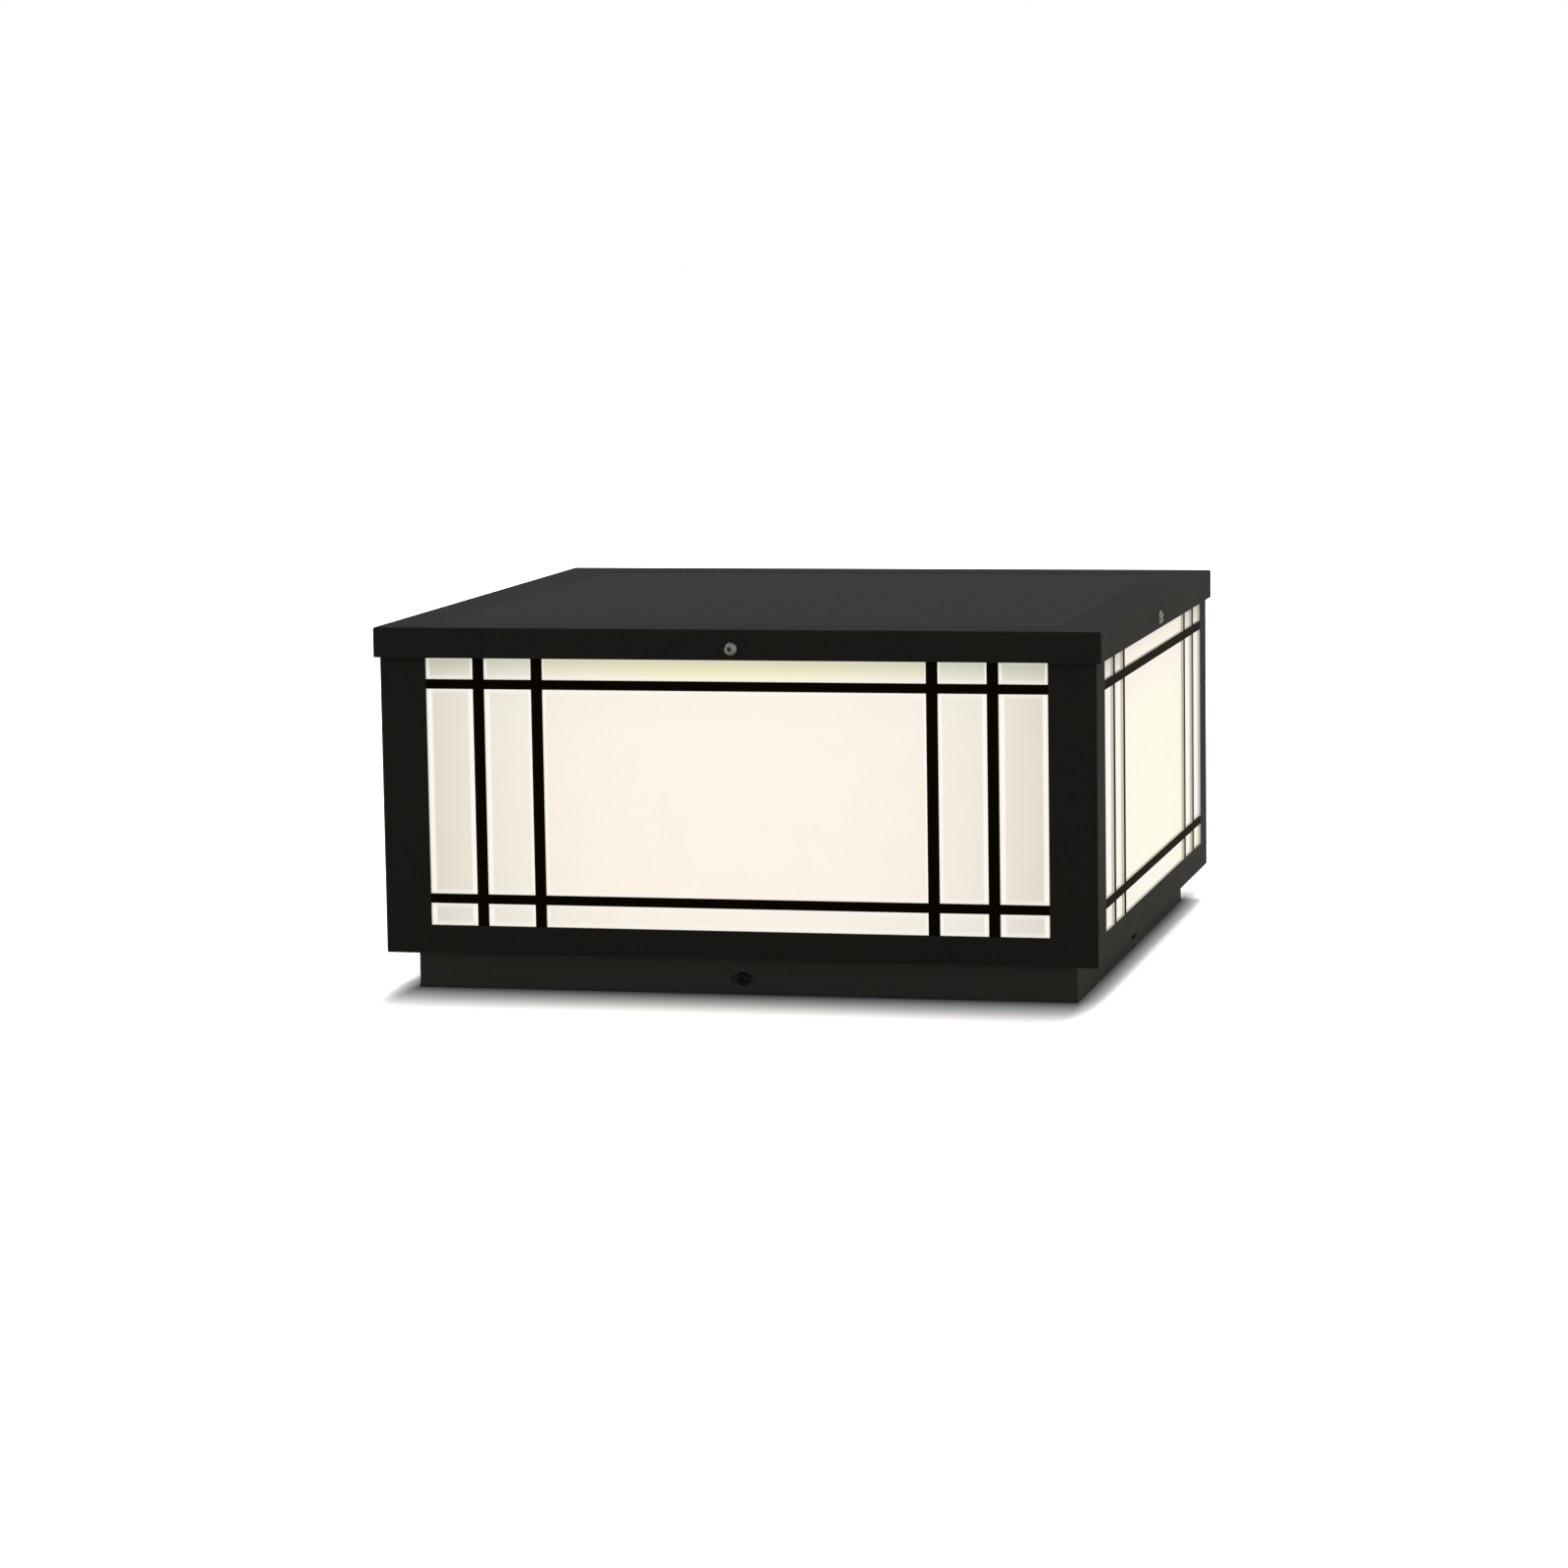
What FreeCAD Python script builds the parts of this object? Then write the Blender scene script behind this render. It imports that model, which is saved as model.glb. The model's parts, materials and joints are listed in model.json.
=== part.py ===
import FreeCAD, Part

# A flat square solar lamp for the top of a gate pillar. Millimetres, +Z up, the front faces -Y, and the origin is the
# middle of the footprint on the ground. Every size is a cell of the sheet, and every piece is bound to those cells.

import math
import os
from types import SimpleNamespace

import Sketcher
from FreeCAD import Placement, Rotation, Vector

SIZES = {
    # the whole lamp
    "body_side": 400.0,
    "lamp_height": 203.0,
    "skirt_height": 16.8,
    "lid_gap": 1.5,
    "plinth_setback": 14.0,
    "plinth_height": 21.5,
    # sheet thicknesses
    "panel_wall": 1.5,
    "lid_wall": 1.5,
    "plinth_wall": 1.5,
    "base_wall": 2.0,
    "floor_wall": 1.5,
    "ring_wall": 1.5,
    "angle_wall": 1.5,
    "gear_wall": 1.2,
    "reflector_wall": 0.6,
    # the window lattice in each side panel
    "post_width": 26.4,
    "rail_height": 16.0,
    "head_height": 13.0,
    "upright_width": 6.4,
    "crossbar_height": 5.4,
    "side_pane_width": 26.8,
    "edge_pane_height": 12.2,
    "panel_corner_chamfer": 0.5,
    # the diffusers, with a bevelled field in each pane
    "diffuser_wall": 3.0,
    "diffuser_side_gap": 2.9,
    "diffuser_top_gap": 0.3,
    "field_rise": 0.3,
    "field_bevel": 4.0,
    "field_gap": 0.3,
    # the body's inner frame
    "floor_flange_height": 10.0,
    "head_lap": 2.3,
    "ring_width": 12.0,
    "corner_gap": 1.5,
    "angle_leg": 12.0,
    # clips that hold the diffusers
    "clip_wall": 1.0,
    "clip_height": 14.0,
    "clip_lap": 6.6,
    "clip_foot_gap": 1.9,
    "clip_inset": 3.0,
    "clip_end_gap": 30.0,
    # rivets
    "rivet_radius": 1.6,
    "rivet_head_radius": 3.0,
    "rivet_head_height": 1.0,
    "rivet_gap": 0.1,
    # the plinth and the base tray inside it
    "base_gasket_height": 1.5,
    "base_gasket_hole_gap": 1.0,
    "base_gap": 0.6,
    "base_flange_gap": 5.0,
    "base_relief": 8.0,
    "anchor_spacing": 280.0,
    "anchor_hole_radius": 3.5,
    "plinth_flange": 14.5,
    "plinth_corner_radius": 1.5,
    "plinth_slot_length": 14.0,
    "plinth_slot_height": 4.6,
    "plinth_screw_end": 2.7,
    "plinth_rivet_spread": 240.0,
    "reflector_gap": 3.0,
    "reflector_hole_gap": 1.5,
    # the M4 button-head screws and their nuts
    "screw_radius": 2.0,
    "screw_head_radius": 3.8,
    "screw_head_height": 2.2,
    "screw_socket_flats": 2.5,
    "screw_socket_depth": 1.3,
    "screw_gap": 0.3,
    "thread_gap": 0.05,
    "nut_flats": 7.0,
    "nut_height": 3.2,
    # the M3 screws of the boxes and boards
    "small_screw_radius": 1.5,
    "small_head_radius": 2.7,
    "small_head_height": 1.8,
    "small_socket_flats": 2.0,
    "small_socket_depth": 1.0,
    "small_screw_length": 6.0,
    # the lid
    "lid_edge_radius": 1.2,
    "lid_corner_radius": 1.4,
    "lid_screw_rise": 3.5,
    "lid_screw_end": 2.8,
    "nut_slot_gap": 1.0,
    "lid_gasket_height": 2.0,
    "lid_gasket_inset": 1.0,
    # the solar panel, flush in the lid
    "ledge_width": 12.0,
    "glass_drop": 0.3,
    "glass_gap": 0.5,
    "glass_height": 3.2,
    "ribbon_height": 0.05,
    "ribbon_width": 1.6,
    "ribbon_end": 4.0,
    "cell_height": 0.25,
    "cell_margin": 8.0,
    "cell_gap": 3.0,
    "backsheet_height": 1.0,
    "seal_height": 0.5,
    "seal_width": 8.0,
    "junction_length": 60.0,
    "junction_width": 50.0,
    "junction_height": 11.0,
    "junction_back": 100.0,
    # the gear tray under the lid
    "gear_ring_gap": 2.5,
    "gear_flange_width": 9.0,
    "gear_recess_gap": 0.3,
    "gear_head_room": 3.65,
    "stud_spread": 200.0,
    "stud_end": 3.6,
    "stud_gap": 0.3,
    # the battery
    "battery_left": 85.0,
    "battery_front": 70.0,
    "battery_cell_radius": 9.2,
    "battery_cell_length": 65.2,
    "battery_cell_gap": 1.0,
    "battery_wall": 1.6,
    "battery_end_gap": 2.0,
    "battery_cover_wall": 1.6,
    "battery_ear": 8.0,
    "link_wall": 0.4,
    "link_height": 8.0,
    # the controller
    "control_right": 75.0,
    "control_front": 70.0,
    "control_length": 100.0,
    "control_width": 64.0,
    "control_head_room": 2.4,
    "control_wall": 2.0,
    "control_cover_wall": 2.0,
    "control_ear": 8.0,
    "board_wall": 1.6,
    "board_gap": 0.5,
    "board_rib_height": 3.0,
    "board_rib_width": 4.0,
    "coil_radius": 7.0,
    "coil_hole_radius": 3.0,
    "coil_height": 7.0,
    "can_radius": 4.0,
    "can_height": 9.0,
    "chip_side": 7.0,
    "chip_height": 1.6,
    "terminal_length": 20.0,
    "terminal_width": 8.0,
    "terminal_height": 9.0,
    # the light board
    "led_board_inset": 50.0,
    "led_board_wall": 1.6,
    "led_margin": 25.0,
    "led_length": 3.5,
    "led_width": 2.8,
    "led_height": 0.8,
    "board_screw_inset": 7.0,
    # the power button
    "button_radius": 5.0,
    "button_collar": 1.0,
    "button_lip": 2.0,
    "button_gap": 0.3,
    "button_proud": 1.8,
    "button_dome": 0.8,
    "button_travel": 1.5,
    "button_length": 9.0,
    "bezel_rim": 2.0,
    "bezel_height": 2.2,
    "barrel_wall": 1.7,
    "barrel_end_wall": 7.7,
    "barrel_end_gap": 1.0,
    "terminal_block_side": 12.0,
    "terminal_block_height": 6.0,
    "button_nut_wall": 2.0,
    "button_nut_height": 3.5,
    # the leads inside the lid
    "lead_radius": 2.0,
    "lead_rise": 7.0,
    "lead_hole_gap": 0.5,
    "battery_lead_shift": 10.0,
    "led_lead_run": 28.0,
    "lead_clip_length": 6.0,
    "lead_clip_wall": 2.0,
    "lead_clip_gap": 0.3,
    # how far a cutting shape runs past what it cuts
    "overrun": 1.0,
}

SIDES = ("front", "right", "back", "left")
CORNERS = ("front_right", "back_right", "back_left", "front_left")
QUARTER_TURN = 90
HEX_SIDES = 6
CELLS_PER_ROW = 6
RIBBONS_PER_CELL = 2
LEDS_PER_ROW = 6
BATTERY_CELLS = 4
# how close two measures are taken as the same, as a length and as a share of a volume
SMALL = 0.01
VOLUME_TOLERANCE_SHARE = 0.01

# a hexagon's corner radius, as a share of its width across flats
HEX_CORNER_SHARE = 1 / math.sqrt(3)
# the plinth screws' height, as a share of the plinth's
PLINTH_SCREW_SHARE = 0.42
# where the parts on the controller's board stand, as shares of the case's length from its middle
COIL_SHARE = -0.25
CAN_SHARE = 0.07
CHIP_SHARE = 0.25
# how much of the shorter run each side of a lead's corner its arc takes
LEAD_ARC_SHARE = 0.45
# the battery lead's two corners, as shares of the way to the controller
BATTERY_LEAD_SHARES = (1 / 3, 2 / 3)
# the corners of a lead that comes down to the controller: shares of its way sideways, forwards and down
DROP_LEAD_SHARES = ((0, 0.2, 0), (0.25, 0.4, 0.33), (0.75, 0.6, 0.83), (1, 0.75, 1))
# where the leads enter the controller's far wall, as shares of its length from its middle
PANEL_LEAD_ENTRY_SHARE = -0.25
LED_LEAD_ENTRY_SHARE = 0.25
BUTTON_LEAD_ENTRY_SHARE = 0.4


class Size:
    """A length with the formula that binds it to the sheet's cells."""

    def __init__(self, text, value):
        self.text = text
        self.value = value

    def __add__(self, other):
        other = as_size(other)
        return Size("(%s + %s)" % (self.text, other.text), self.value + other.value)

    def __sub__(self, other):
        other = as_size(other)
        return Size("(%s - %s)" % (self.text, other.text), self.value - other.value)

    def __mul__(self, other):
        other = as_size(other)
        return Size("(%s * %s)" % (self.text, other.text), self.value * other.value)

    def __truediv__(self, other):
        other = as_size(other)
        return Size("(%s / %s)" % (self.text, other.text), self.value / other.value)

    def __neg__(self):
        return Size("(0 - %s)" % self.text, -self.value)


def as_size(number):
    return number if isinstance(number, Size) else Size(repr(number), number)


doc = FreeCAD.newDocument("PillarLamp")
nodes = {}


def fill_sheet():
    """Writes each size into its cell and returns the sizes by name."""
    sheet = doc.addObject("Spreadsheet::Sheet", "Sizes")
    for row, (name, value) in enumerate(SIZES.items(), 1):
        sheet.set("A%d" % row, name)
        sheet.set("B%d" % row, str(value))
        sheet.setAlias("B%d" % row, name)
    return SimpleNamespace(**{name: Size("Sizes." + name, value) for name, value in SIZES.items()})


size = fill_sheet()

# faces and heights that several pieces share, each worked out from the sizes
body_half = size.body_side / 2
panel_face = body_half - size.panel_wall
angle_face = panel_face - size.angle_wall
body_floor = size.plinth_height
floor_top = body_floor + size.floor_wall
lid_under = size.lamp_height - size.lid_wall
skirt_bottom = size.lamp_height - size.skirt_height
body_top = lid_under - size.lid_gasket_height
ring_under = body_top - size.ring_wall
ring_leg_bottom = body_top - size.head_height + size.head_lap
lid_screw_level = ring_leg_bottom + size.lid_screw_rise
ring_inner = panel_face - size.ring_width
flange_end = panel_face - size.angle_leg - size.corner_gap
lid_half = body_half + size.lid_gap + size.lid_wall
window_half = body_half - size.post_width
window_bottom = body_floor + size.rail_height
window_top = body_top - size.head_height
diffuser_half = panel_face - size.angle_leg - size.diffuser_side_gap
diffuser_bottom = body_floor + size.floor_flange_height
diffuser_top = ring_leg_bottom - size.diffuser_top_gap
diffuser_back = panel_face - size.diffuser_wall
plinth_half = body_half - size.plinth_setback
plinth_face = plinth_half - size.plinth_wall
base_half = plinth_face - size.base_gap
base_top = size.base_gasket_height + size.base_wall
plinth_screw_level = size.plinth_height * PLINTH_SCREW_SHARE
gear_flange_half = ring_inner - size.gear_ring_gap
gear_half = gear_flange_half - size.gear_flange_width
opening_half = gear_half - size.gear_wall - size.gear_recess_gap - size.lid_wall
glass_top = size.lamp_height - size.glass_drop
glass_bottom = glass_top - size.glass_height
cell_top = glass_bottom - size.ribbon_height
backsheet_top = cell_top - size.cell_height
backsheet_bottom = backsheet_top - size.backsheet_height
ledge_top = backsheet_bottom - size.seal_height
ledge_bottom = ledge_top - size.lid_wall
glass_half = opening_half - size.glass_gap
battery_pitch = size.battery_cell_radius * 2 + size.battery_cell_gap
battery_height = size.battery_cell_radius * 2 + size.battery_wall
battery_stack = battery_height + size.battery_cover_wall + size.small_head_height
gear_top = backsheet_bottom - size.gear_head_room - battery_stack
gear_bottom = gear_top - size.gear_wall
led_board_bottom = gear_bottom - size.led_board_wall
led_board_half = gear_half - size.led_board_inset
board_screw_half = led_board_half - size.board_screw_inset
button_out = (led_board_half + gear_half) / 2
collar_radius = size.button_radius + size.button_collar
barrel_radius = collar_radius + size.button_gap + size.barrel_wall
bezel_low = gear_bottom - size.bezel_height
collar_low = bezel_low + size.button_lip
button_low = bezel_low - size.button_proud
button_high = button_low + size.button_length
button_well_top = button_high + size.button_travel + size.barrel_end_gap
barrel_top = button_well_top + size.barrel_end_wall
lead_level = gear_top + size.lead_rise


def bind(thing, place, length):
    thing.setExpression(place, as_size(length).text)


def box(name, x, y, z):
    """A box between the low and high ends given along each axis."""
    thing = doc.addObject("Part::Box", name)
    for side, axis, (low, high) in (("Length", "x", x), ("Width", "y", y), ("Height", "z", z)):
        bind(thing, side, as_size(high) - low)
        bind(thing, "Placement.Base." + axis, low)
    return thing


def rod(name, radius, low, high, at, lying=False):
    """A cylinder from low to high, upright at (x, y), or lying along Y at (x, z)."""
    thing = doc.addObject("Part::Cylinder", name)
    bind(thing, "Radius", radius)
    bind(thing, "Height", as_size(high) - low)
    if lying:
        thing.Placement = Placement(Vector(), Rotation(Vector(1, 0, 0), QUARTER_TURN))
    x, y, z = (at[0], high, at[1]) if lying else (at[0], at[1], low)
    for axis, place in (("x", x), ("y", y), ("z", z)):
        bind(thing, "Placement.Base." + axis, place)
    return thing


def prism(name, flats, low, high, at):
    """An upright hexagonal prism at (x, y), two of its flats facing +Y and -Y."""
    thing = doc.addObject("Part::Prism", name)
    thing.Polygon = HEX_SIDES
    bind(thing, "Circumradius", flats * HEX_CORNER_SHARE)
    bind(thing, "Height", as_size(high) - low)
    for axis, place in (("x", at[0]), ("y", at[1]), ("z", low)):
        bind(thing, "Placement.Base." + axis, place)
    return thing


def fuse(name, *parts):
    thing = doc.addObject("Part::MultiFuse", name)
    thing.Shapes = list(parts)
    thing.Refine = True
    return thing


def cut(name, base, *tools):
    thing = doc.addObject("Part::Cut", name)
    thing.Base = base
    thing.Tool = tools[0] if len(tools) == 1 else fuse(name + "_tools", *tools)
    thing.Refine = True
    return thing


def group(name, parts):
    """Separate solids that share one node."""
    thing = doc.addObject("Part::Compound", name)
    thing.Links = list(parts)
    return thing


def node(name, thing):
    """Keeps the object as a sub-part under this name."""
    thing.Label = name
    nodes[name] = thing
    return thing


def around(side, along, out):
    """The (x, y) of a place on one side of the lamp: along that side, and out from the middle."""
    return ((along, -out), (out, along), (-along, out), (-out, -along))[side]


def side_turn(side):
    return Rotation(Vector(0, 0, 1), QUARTER_TURN * side)


def set_out(thing, x, y, z, turn):
    """Gives a finished piece its turn, and binds its place."""
    thing.Placement = Placement(Vector(), turn)
    for axis, place in (("x", x), ("y", y), ("z", z)):
        bind(thing, "Placement.Base." + axis, place)
    return thing


def origin_plane(body, role):
    return next(feature for feature in body.Origin.OriginFeatures if feature.Role == role)


def sketch(body, name, role, offset):
    """A sketch on one of the body's own origin planes, moved along that plane's normal."""
    made = body.newObject("Sketcher::SketchObject", name)
    made.AttachmentSupport = [(origin_plane(body, role), "")]
    made.MapMode = "FlatFace"
    bind(made, "AttachmentOffset.Base.z", offset)
    return made


def fix_point(made, line, point, place):
    for kind, length in zip(("DistanceX", "DistanceY"), place):
        length = as_size(length)
        index = made.addConstraint(Sketcher.Constraint(kind, -1, 1, line, point, length.value))
        made.setExpression("Constraints[%d]" % index, length.text)


def polygon(made, corners):
    """A closed outline of straight lines, each corner bound to its place."""
    first = made.GeometryCount
    places = [Vector(as_size(x).value, as_size(y).value, 0) for x, y in corners]
    count = len(places)
    for k in range(count):
        made.addGeometry(Part.LineSegment(places[k], places[(k + 1) % count]), False)
    for k in range(count):
        made.addConstraint(Sketcher.Constraint("Coincident", first + k, 2, first + (k + 1) % count, 1))
    for k, corner in enumerate(corners):
        fix_point(made, first + k, 1, corner)


def rectangle(made, x, y):
    polygon(made, [(x[0], y[0]), (x[1], y[0]), (x[1], y[1]), (x[0], y[1])])


def circle(made, place, radius):
    centre = Vector(as_size(place[0]).value, as_size(place[1]).value, 0)
    line = made.addGeometry(Part.Circle(centre, Vector(0, 0, 1), radius.value), False)
    fix_point(made, line, 3, place)
    index = made.addConstraint(Sketcher.Constraint("Radius", line, radius.value))
    made.setExpression("Constraints[%d]" % index, radius.text)


def pad(body, name, profile, length, slope=None):
    made = body.newObject("PartDesign::Pad", name)
    made.Profile = profile
    bind(made, "Length", length)
    if slope:
        made.setExpression("TaperAngle", slope)
    doc.recompute()
    return made


def pocket(body, name, profile, length=None, reverse=False, both_ways=False):
    """Cuts the profile down from its plane, right through when no length is given, and checks that it cut."""
    before = body.Shape.Volume
    made = body.newObject("PartDesign::Pocket", name)
    made.Profile = profile
    made.Reversed = reverse
    made.Midplane = both_ways
    if length is None:
        made.Type = "ThroughAll"
    else:
        bind(made, "Length", length)
    doc.recompute()
    if not body.Shape.Volume < before:
        raise RuntimeError(name + " cut nothing")
    return made


def fillet(body, name, wanted, radius):
    """Rounds the edges of the body that the test picks out."""
    tip = body.Tip
    picked = ["Edge%d" % (k + 1) for k, edge in enumerate(tip.Shape.Edges) if wanted(edge)]
    made = body.newObject("PartDesign::Fillet", name)
    made.Base = (tip, picked)
    bind(made, "Radius", radius)
    doc.recompute()
    return made


def stands_upright_at(edge, half):
    """True for a vertical edge at a corner of the square of that half side."""
    span = edge.BoundBox
    ends = (span.XMin, span.XMax, span.YMin, span.YMax)
    return span.ZLength > SMALL and all(abs(abs(end) - half.value) < SMALL for end in ends)


def fastener(name, radius, head_radius, head_height, length, socket=None):
    """A domed head above its seat at z = 0 and a shank below it, with a hexagon socket of the flats and depth given."""
    dome_radius = (head_radius * head_radius + head_height * head_height) / (head_height * 2)
    dome = doc.addObject("Part::Sphere", name + "_dome")
    bind(dome, "Radius", dome_radius)
    bind(dome, "Placement.Base.z", head_height - dome_radius)
    head = doc.addObject("Part::Common", name + "_head")
    head.Base = dome
    head.Tool = rod(name + "_blank", head_radius, 0, head_height, (0, 0))
    shank = rod(name + "_shank", radius, -length, head_height / 2, (0, 0))
    whole = fuse(name + "_whole", head, shank)
    if not socket:
        return whole
    flats, depth = socket
    hole = prism(name + "_socket", flats, head_height - depth, head_height + size.overrun, (0, 0))
    return cut(name + "_socketed", whole, hole)


def big_screw(name, length):
    """An M4 button-head screw."""
    socket = (size.screw_socket_flats, size.screw_socket_depth)
    return fastener(name, size.screw_radius, size.screw_head_radius, size.screw_head_height, length, socket)


def small_screw(name, length):
    """An M3 button-head screw."""
    socket = (size.small_socket_flats, size.small_socket_depth)
    head = (size.small_head_radius, size.small_head_height)
    return fastener(name, size.small_screw_radius, *head, length, socket)


def rivet(name, length):
    return fastener(name, size.rivet_radius, size.rivet_head_radius, size.rivet_head_height, length)


OUTWARD = Rotation(Vector(1, 0, 0), QUARTER_TURN)
DOWNWARD = Rotation(Vector(1, 0, 0), 2 * QUARTER_TURN)


# the base that stays on the pillar

def anchor_places():
    half = size.anchor_spacing / 2
    return [(x, y) for x in (-half, half) for y in (-half, half)]


def make_base_gasket():
    """A rubber mat under the whole base, with a hole round each anchor."""
    across = (-plinth_half, plinth_half)
    mat = box("gasket_mat", across, across, (0, size.base_gasket_height))
    radius = size.anchor_hole_radius + size.base_gasket_hole_gap
    z = (-size.overrun, size.base_gasket_height + size.overrun)
    holes = [rod("gasket_hole_%d" % k, radius, *z, place) for k, place in enumerate(anchor_places())]
    node("base_gasket", cut("gasket", mat, *holes))


def make_mounting_base():
    """A tray with an upturned flange on each side and four anchor holes."""
    body = doc.addObject("PartDesign::Body", "BaseTray")
    end = base_half - size.base_relief
    plate = sketch(body, "TrayPlate", "XY_Plane", size.base_gasket_height)
    rectangle(plate, (-end, end), (-base_half, base_half))
    pad(body, "TrayPlatePad", plate, size.base_wall)
    wings = sketch(body, "TrayWings", "XY_Plane", size.base_gasket_height)
    rectangle(wings, (-base_half, base_half), (-end, end))
    pad(body, "TrayWingsPad", wings, size.base_wall)
    flanges = sketch(body, "TrayFlanges", "XY_Plane", size.base_gasket_height)
    inner = base_half - size.base_wall
    for low, high in ((-base_half, -inner), (inner, base_half)):
        rectangle(flanges, (-end, end), (low, high))
        rectangle(flanges, (low, high), (-end, end))
    flange_top = size.plinth_height - size.plinth_wall - size.base_flange_gap
    pad(body, "TrayFlangesPad", flanges, flange_top - size.base_gasket_height)
    anchors = sketch(body, "AnchorHoles", "XY_Plane", base_top)
    for place in anchor_places():
        circle(anchors, place, size.anchor_hole_radius)
    pocket(body, "AnchorHolesCut", anchors)
    for role, name in (("XZ_Plane", "FrontBackHoles"), ("YZ_Plane", "SideHoles")):
        holes = sketch(body, name, role, 0)
        circle(holes, (0, plinth_screw_level), size.screw_radius + size.screw_gap)
        pocket(body, name + "Cut", holes, both_ways=True)
    node("mounting_base", body)


def make_base_weld_nuts():
    """Square nuts welded inside the tray's flanges."""
    seat = base_half - size.base_wall
    half = size.nut_flats / 2
    nuts = []
    for side in range(len(SIDES)):
        name = "weld_nut_%d" % side
        z = (plinth_screw_level - half, plinth_screw_level + half)
        block = box(name + "_block", (-half, half), (-seat, size.nut_height - seat), z)
        bore = rod(
            name + "_bore", size.screw_radius + size.thread_gap, -seat - size.overrun,
            size.nut_height - seat + size.overrun, (0, plinth_screw_level), lying=True)
        nuts.append(set_out(cut(name, block, bore), 0, 0, 0, side_turn(side)))
    node("base_weld_nuts", group("weld_nuts", nuts))


def make_plinth():
    """A folded ring with an inward flange on top and a screw slot in the middle of each side."""
    body = doc.addObject("PartDesign::Body", "PlinthRing")
    flange_inner = plinth_face - size.plinth_flange
    ring = sketch(body, "PlinthOutline", "XY_Plane", size.base_gasket_height)
    rectangle(ring, (-plinth_half, plinth_half), (-plinth_half, plinth_half))
    pad(body, "PlinthBlock", ring, size.plinth_height - size.base_gasket_height)
    fillet(body, "PlinthCorners", lambda edge: stands_upright_at(edge, plinth_half), size.plinth_corner_radius)
    hollow = sketch(body, "PlinthHollow", "XY_Plane", size.plinth_height - size.plinth_wall)
    rectangle(hollow, (-plinth_face, plinth_face), (-plinth_face, plinth_face))
    pocket(body, "PlinthHollowCut", hollow)
    mouth = sketch(body, "PlinthMouth", "XY_Plane", size.plinth_height)
    rectangle(mouth, (-flange_inner, flange_inner), (-flange_inner, flange_inner))
    pocket(body, "PlinthMouthCut", mouth)
    slot_half = (size.plinth_slot_length - size.plinth_slot_height) / 2
    radius = size.plinth_slot_height / 2
    low, high = plinth_screw_level - radius, plinth_screw_level + radius
    for role, name in (("XZ_Plane", "FrontBackSlots"), ("YZ_Plane", "SideSlots")):
        middle = sketch(body, name, role, 0)
        rectangle(middle, (-slot_half, slot_half), (low, high))
        pocket(body, name + "Cut", middle, both_ways=True)
        for end, at in (("Left", -slot_half), ("Right", slot_half)):
            round_end = sketch(body, name + end, role, 0)
            circle(round_end, (at, plinth_screw_level), radius)
            pocket(body, name + end + "Cut", round_end, both_ways=True)
    rivets = sketch(body, "PlinthRivetHoles", "XY_Plane", size.plinth_height)
    for x, y in rivet_places():
        circle(rivets, (x, y), size.rivet_radius + size.rivet_gap)
    pocket(body, "PlinthRivetHolesCut", rivets, size.plinth_wall)
    node("plinth", body)


def rivet_places():
    """Two rivets on each side, in the middle of the plinth's inward flange."""
    out = plinth_face - size.plinth_flange / 2
    half = size.plinth_rivet_spread / 2
    return [around(side, along, out) for side in range(len(SIDES)) for along in (-half, half)]


def make_plinth_screws():
    """Screws through the plinth's slots and the tray's flanges, into the welded nuts."""
    screws = []
    length = size.plinth_wall + size.base_gap + size.base_wall + size.nut_height + size.plinth_screw_end
    for side in range(len(SIDES)):
        x, y = around(side, as_size(0), plinth_half)
        screw = big_screw("plinth_screw_%d" % side, length)
        screws.append(set_out(screw, x, y, plinth_screw_level, side_turn(side) * OUTWARD))
    node("plinth_screws", group("plinth_screw_set", screws))


def make_plinth_rivets():
    rivets = []
    for k, (x, y) in enumerate(rivet_places()):
        one = rivet("plinth_rivet_%d" % k, size.floor_wall + size.plinth_wall)
        rivets.append(set_out(one, x, y, floor_top, Rotation()))
    node("plinth_rivets", group("plinth_rivet_set", rivets))


# the lamp body

def make_floor_pan():
    """The plate that closes the body's underside, with a flange up the inside of each panel."""
    body = doc.addObject("PartDesign::Body", "FloorPan")
    plate = sketch(body, "PanPlate", "XY_Plane", body_floor)
    rectangle(plate, (-panel_face, panel_face), (-panel_face, panel_face))
    pad(body, "PanPlatePad", plate, size.floor_wall)
    flanges = sketch(body, "PanFlanges", "XY_Plane", body_floor)
    inner = panel_face - size.floor_wall
    for low, high in ((-panel_face, -inner), (inner, panel_face)):
        rectangle(flanges, (-flange_end, flange_end), (low, high))
        rectangle(flanges, (low, high), (-flange_end, flange_end))
    pad(body, "PanFlangesPad", flanges, size.floor_flange_height)
    holes = sketch(body, "PanRivetHoles", "XY_Plane", floor_top)
    for x, y in rivet_places():
        circle(holes, (x, y), size.rivet_radius + size.rivet_gap)
    pocket(body, "PanRivetHolesCut", holes, size.floor_wall)
    node("floor_pan", body)


def make_reflector_sheet():
    """The white sheet on the floor pan, with a hole round each rivet head."""
    half = panel_face - size.floor_wall - size.reflector_gap
    z = (floor_top, floor_top + size.reflector_wall)
    sheet = box("reflector_blank", (-half, half), (-half, half), z)
    radius = size.rivet_head_radius + size.reflector_hole_gap
    holes = [
        rod("reflector_hole_%d" % k, radius, z[0] - size.overrun, z[1] + size.overrun, place)
        for k, place in enumerate(rivet_places())
    ]
    node("reflector_sheet", cut("reflector", sheet, *holes))


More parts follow.
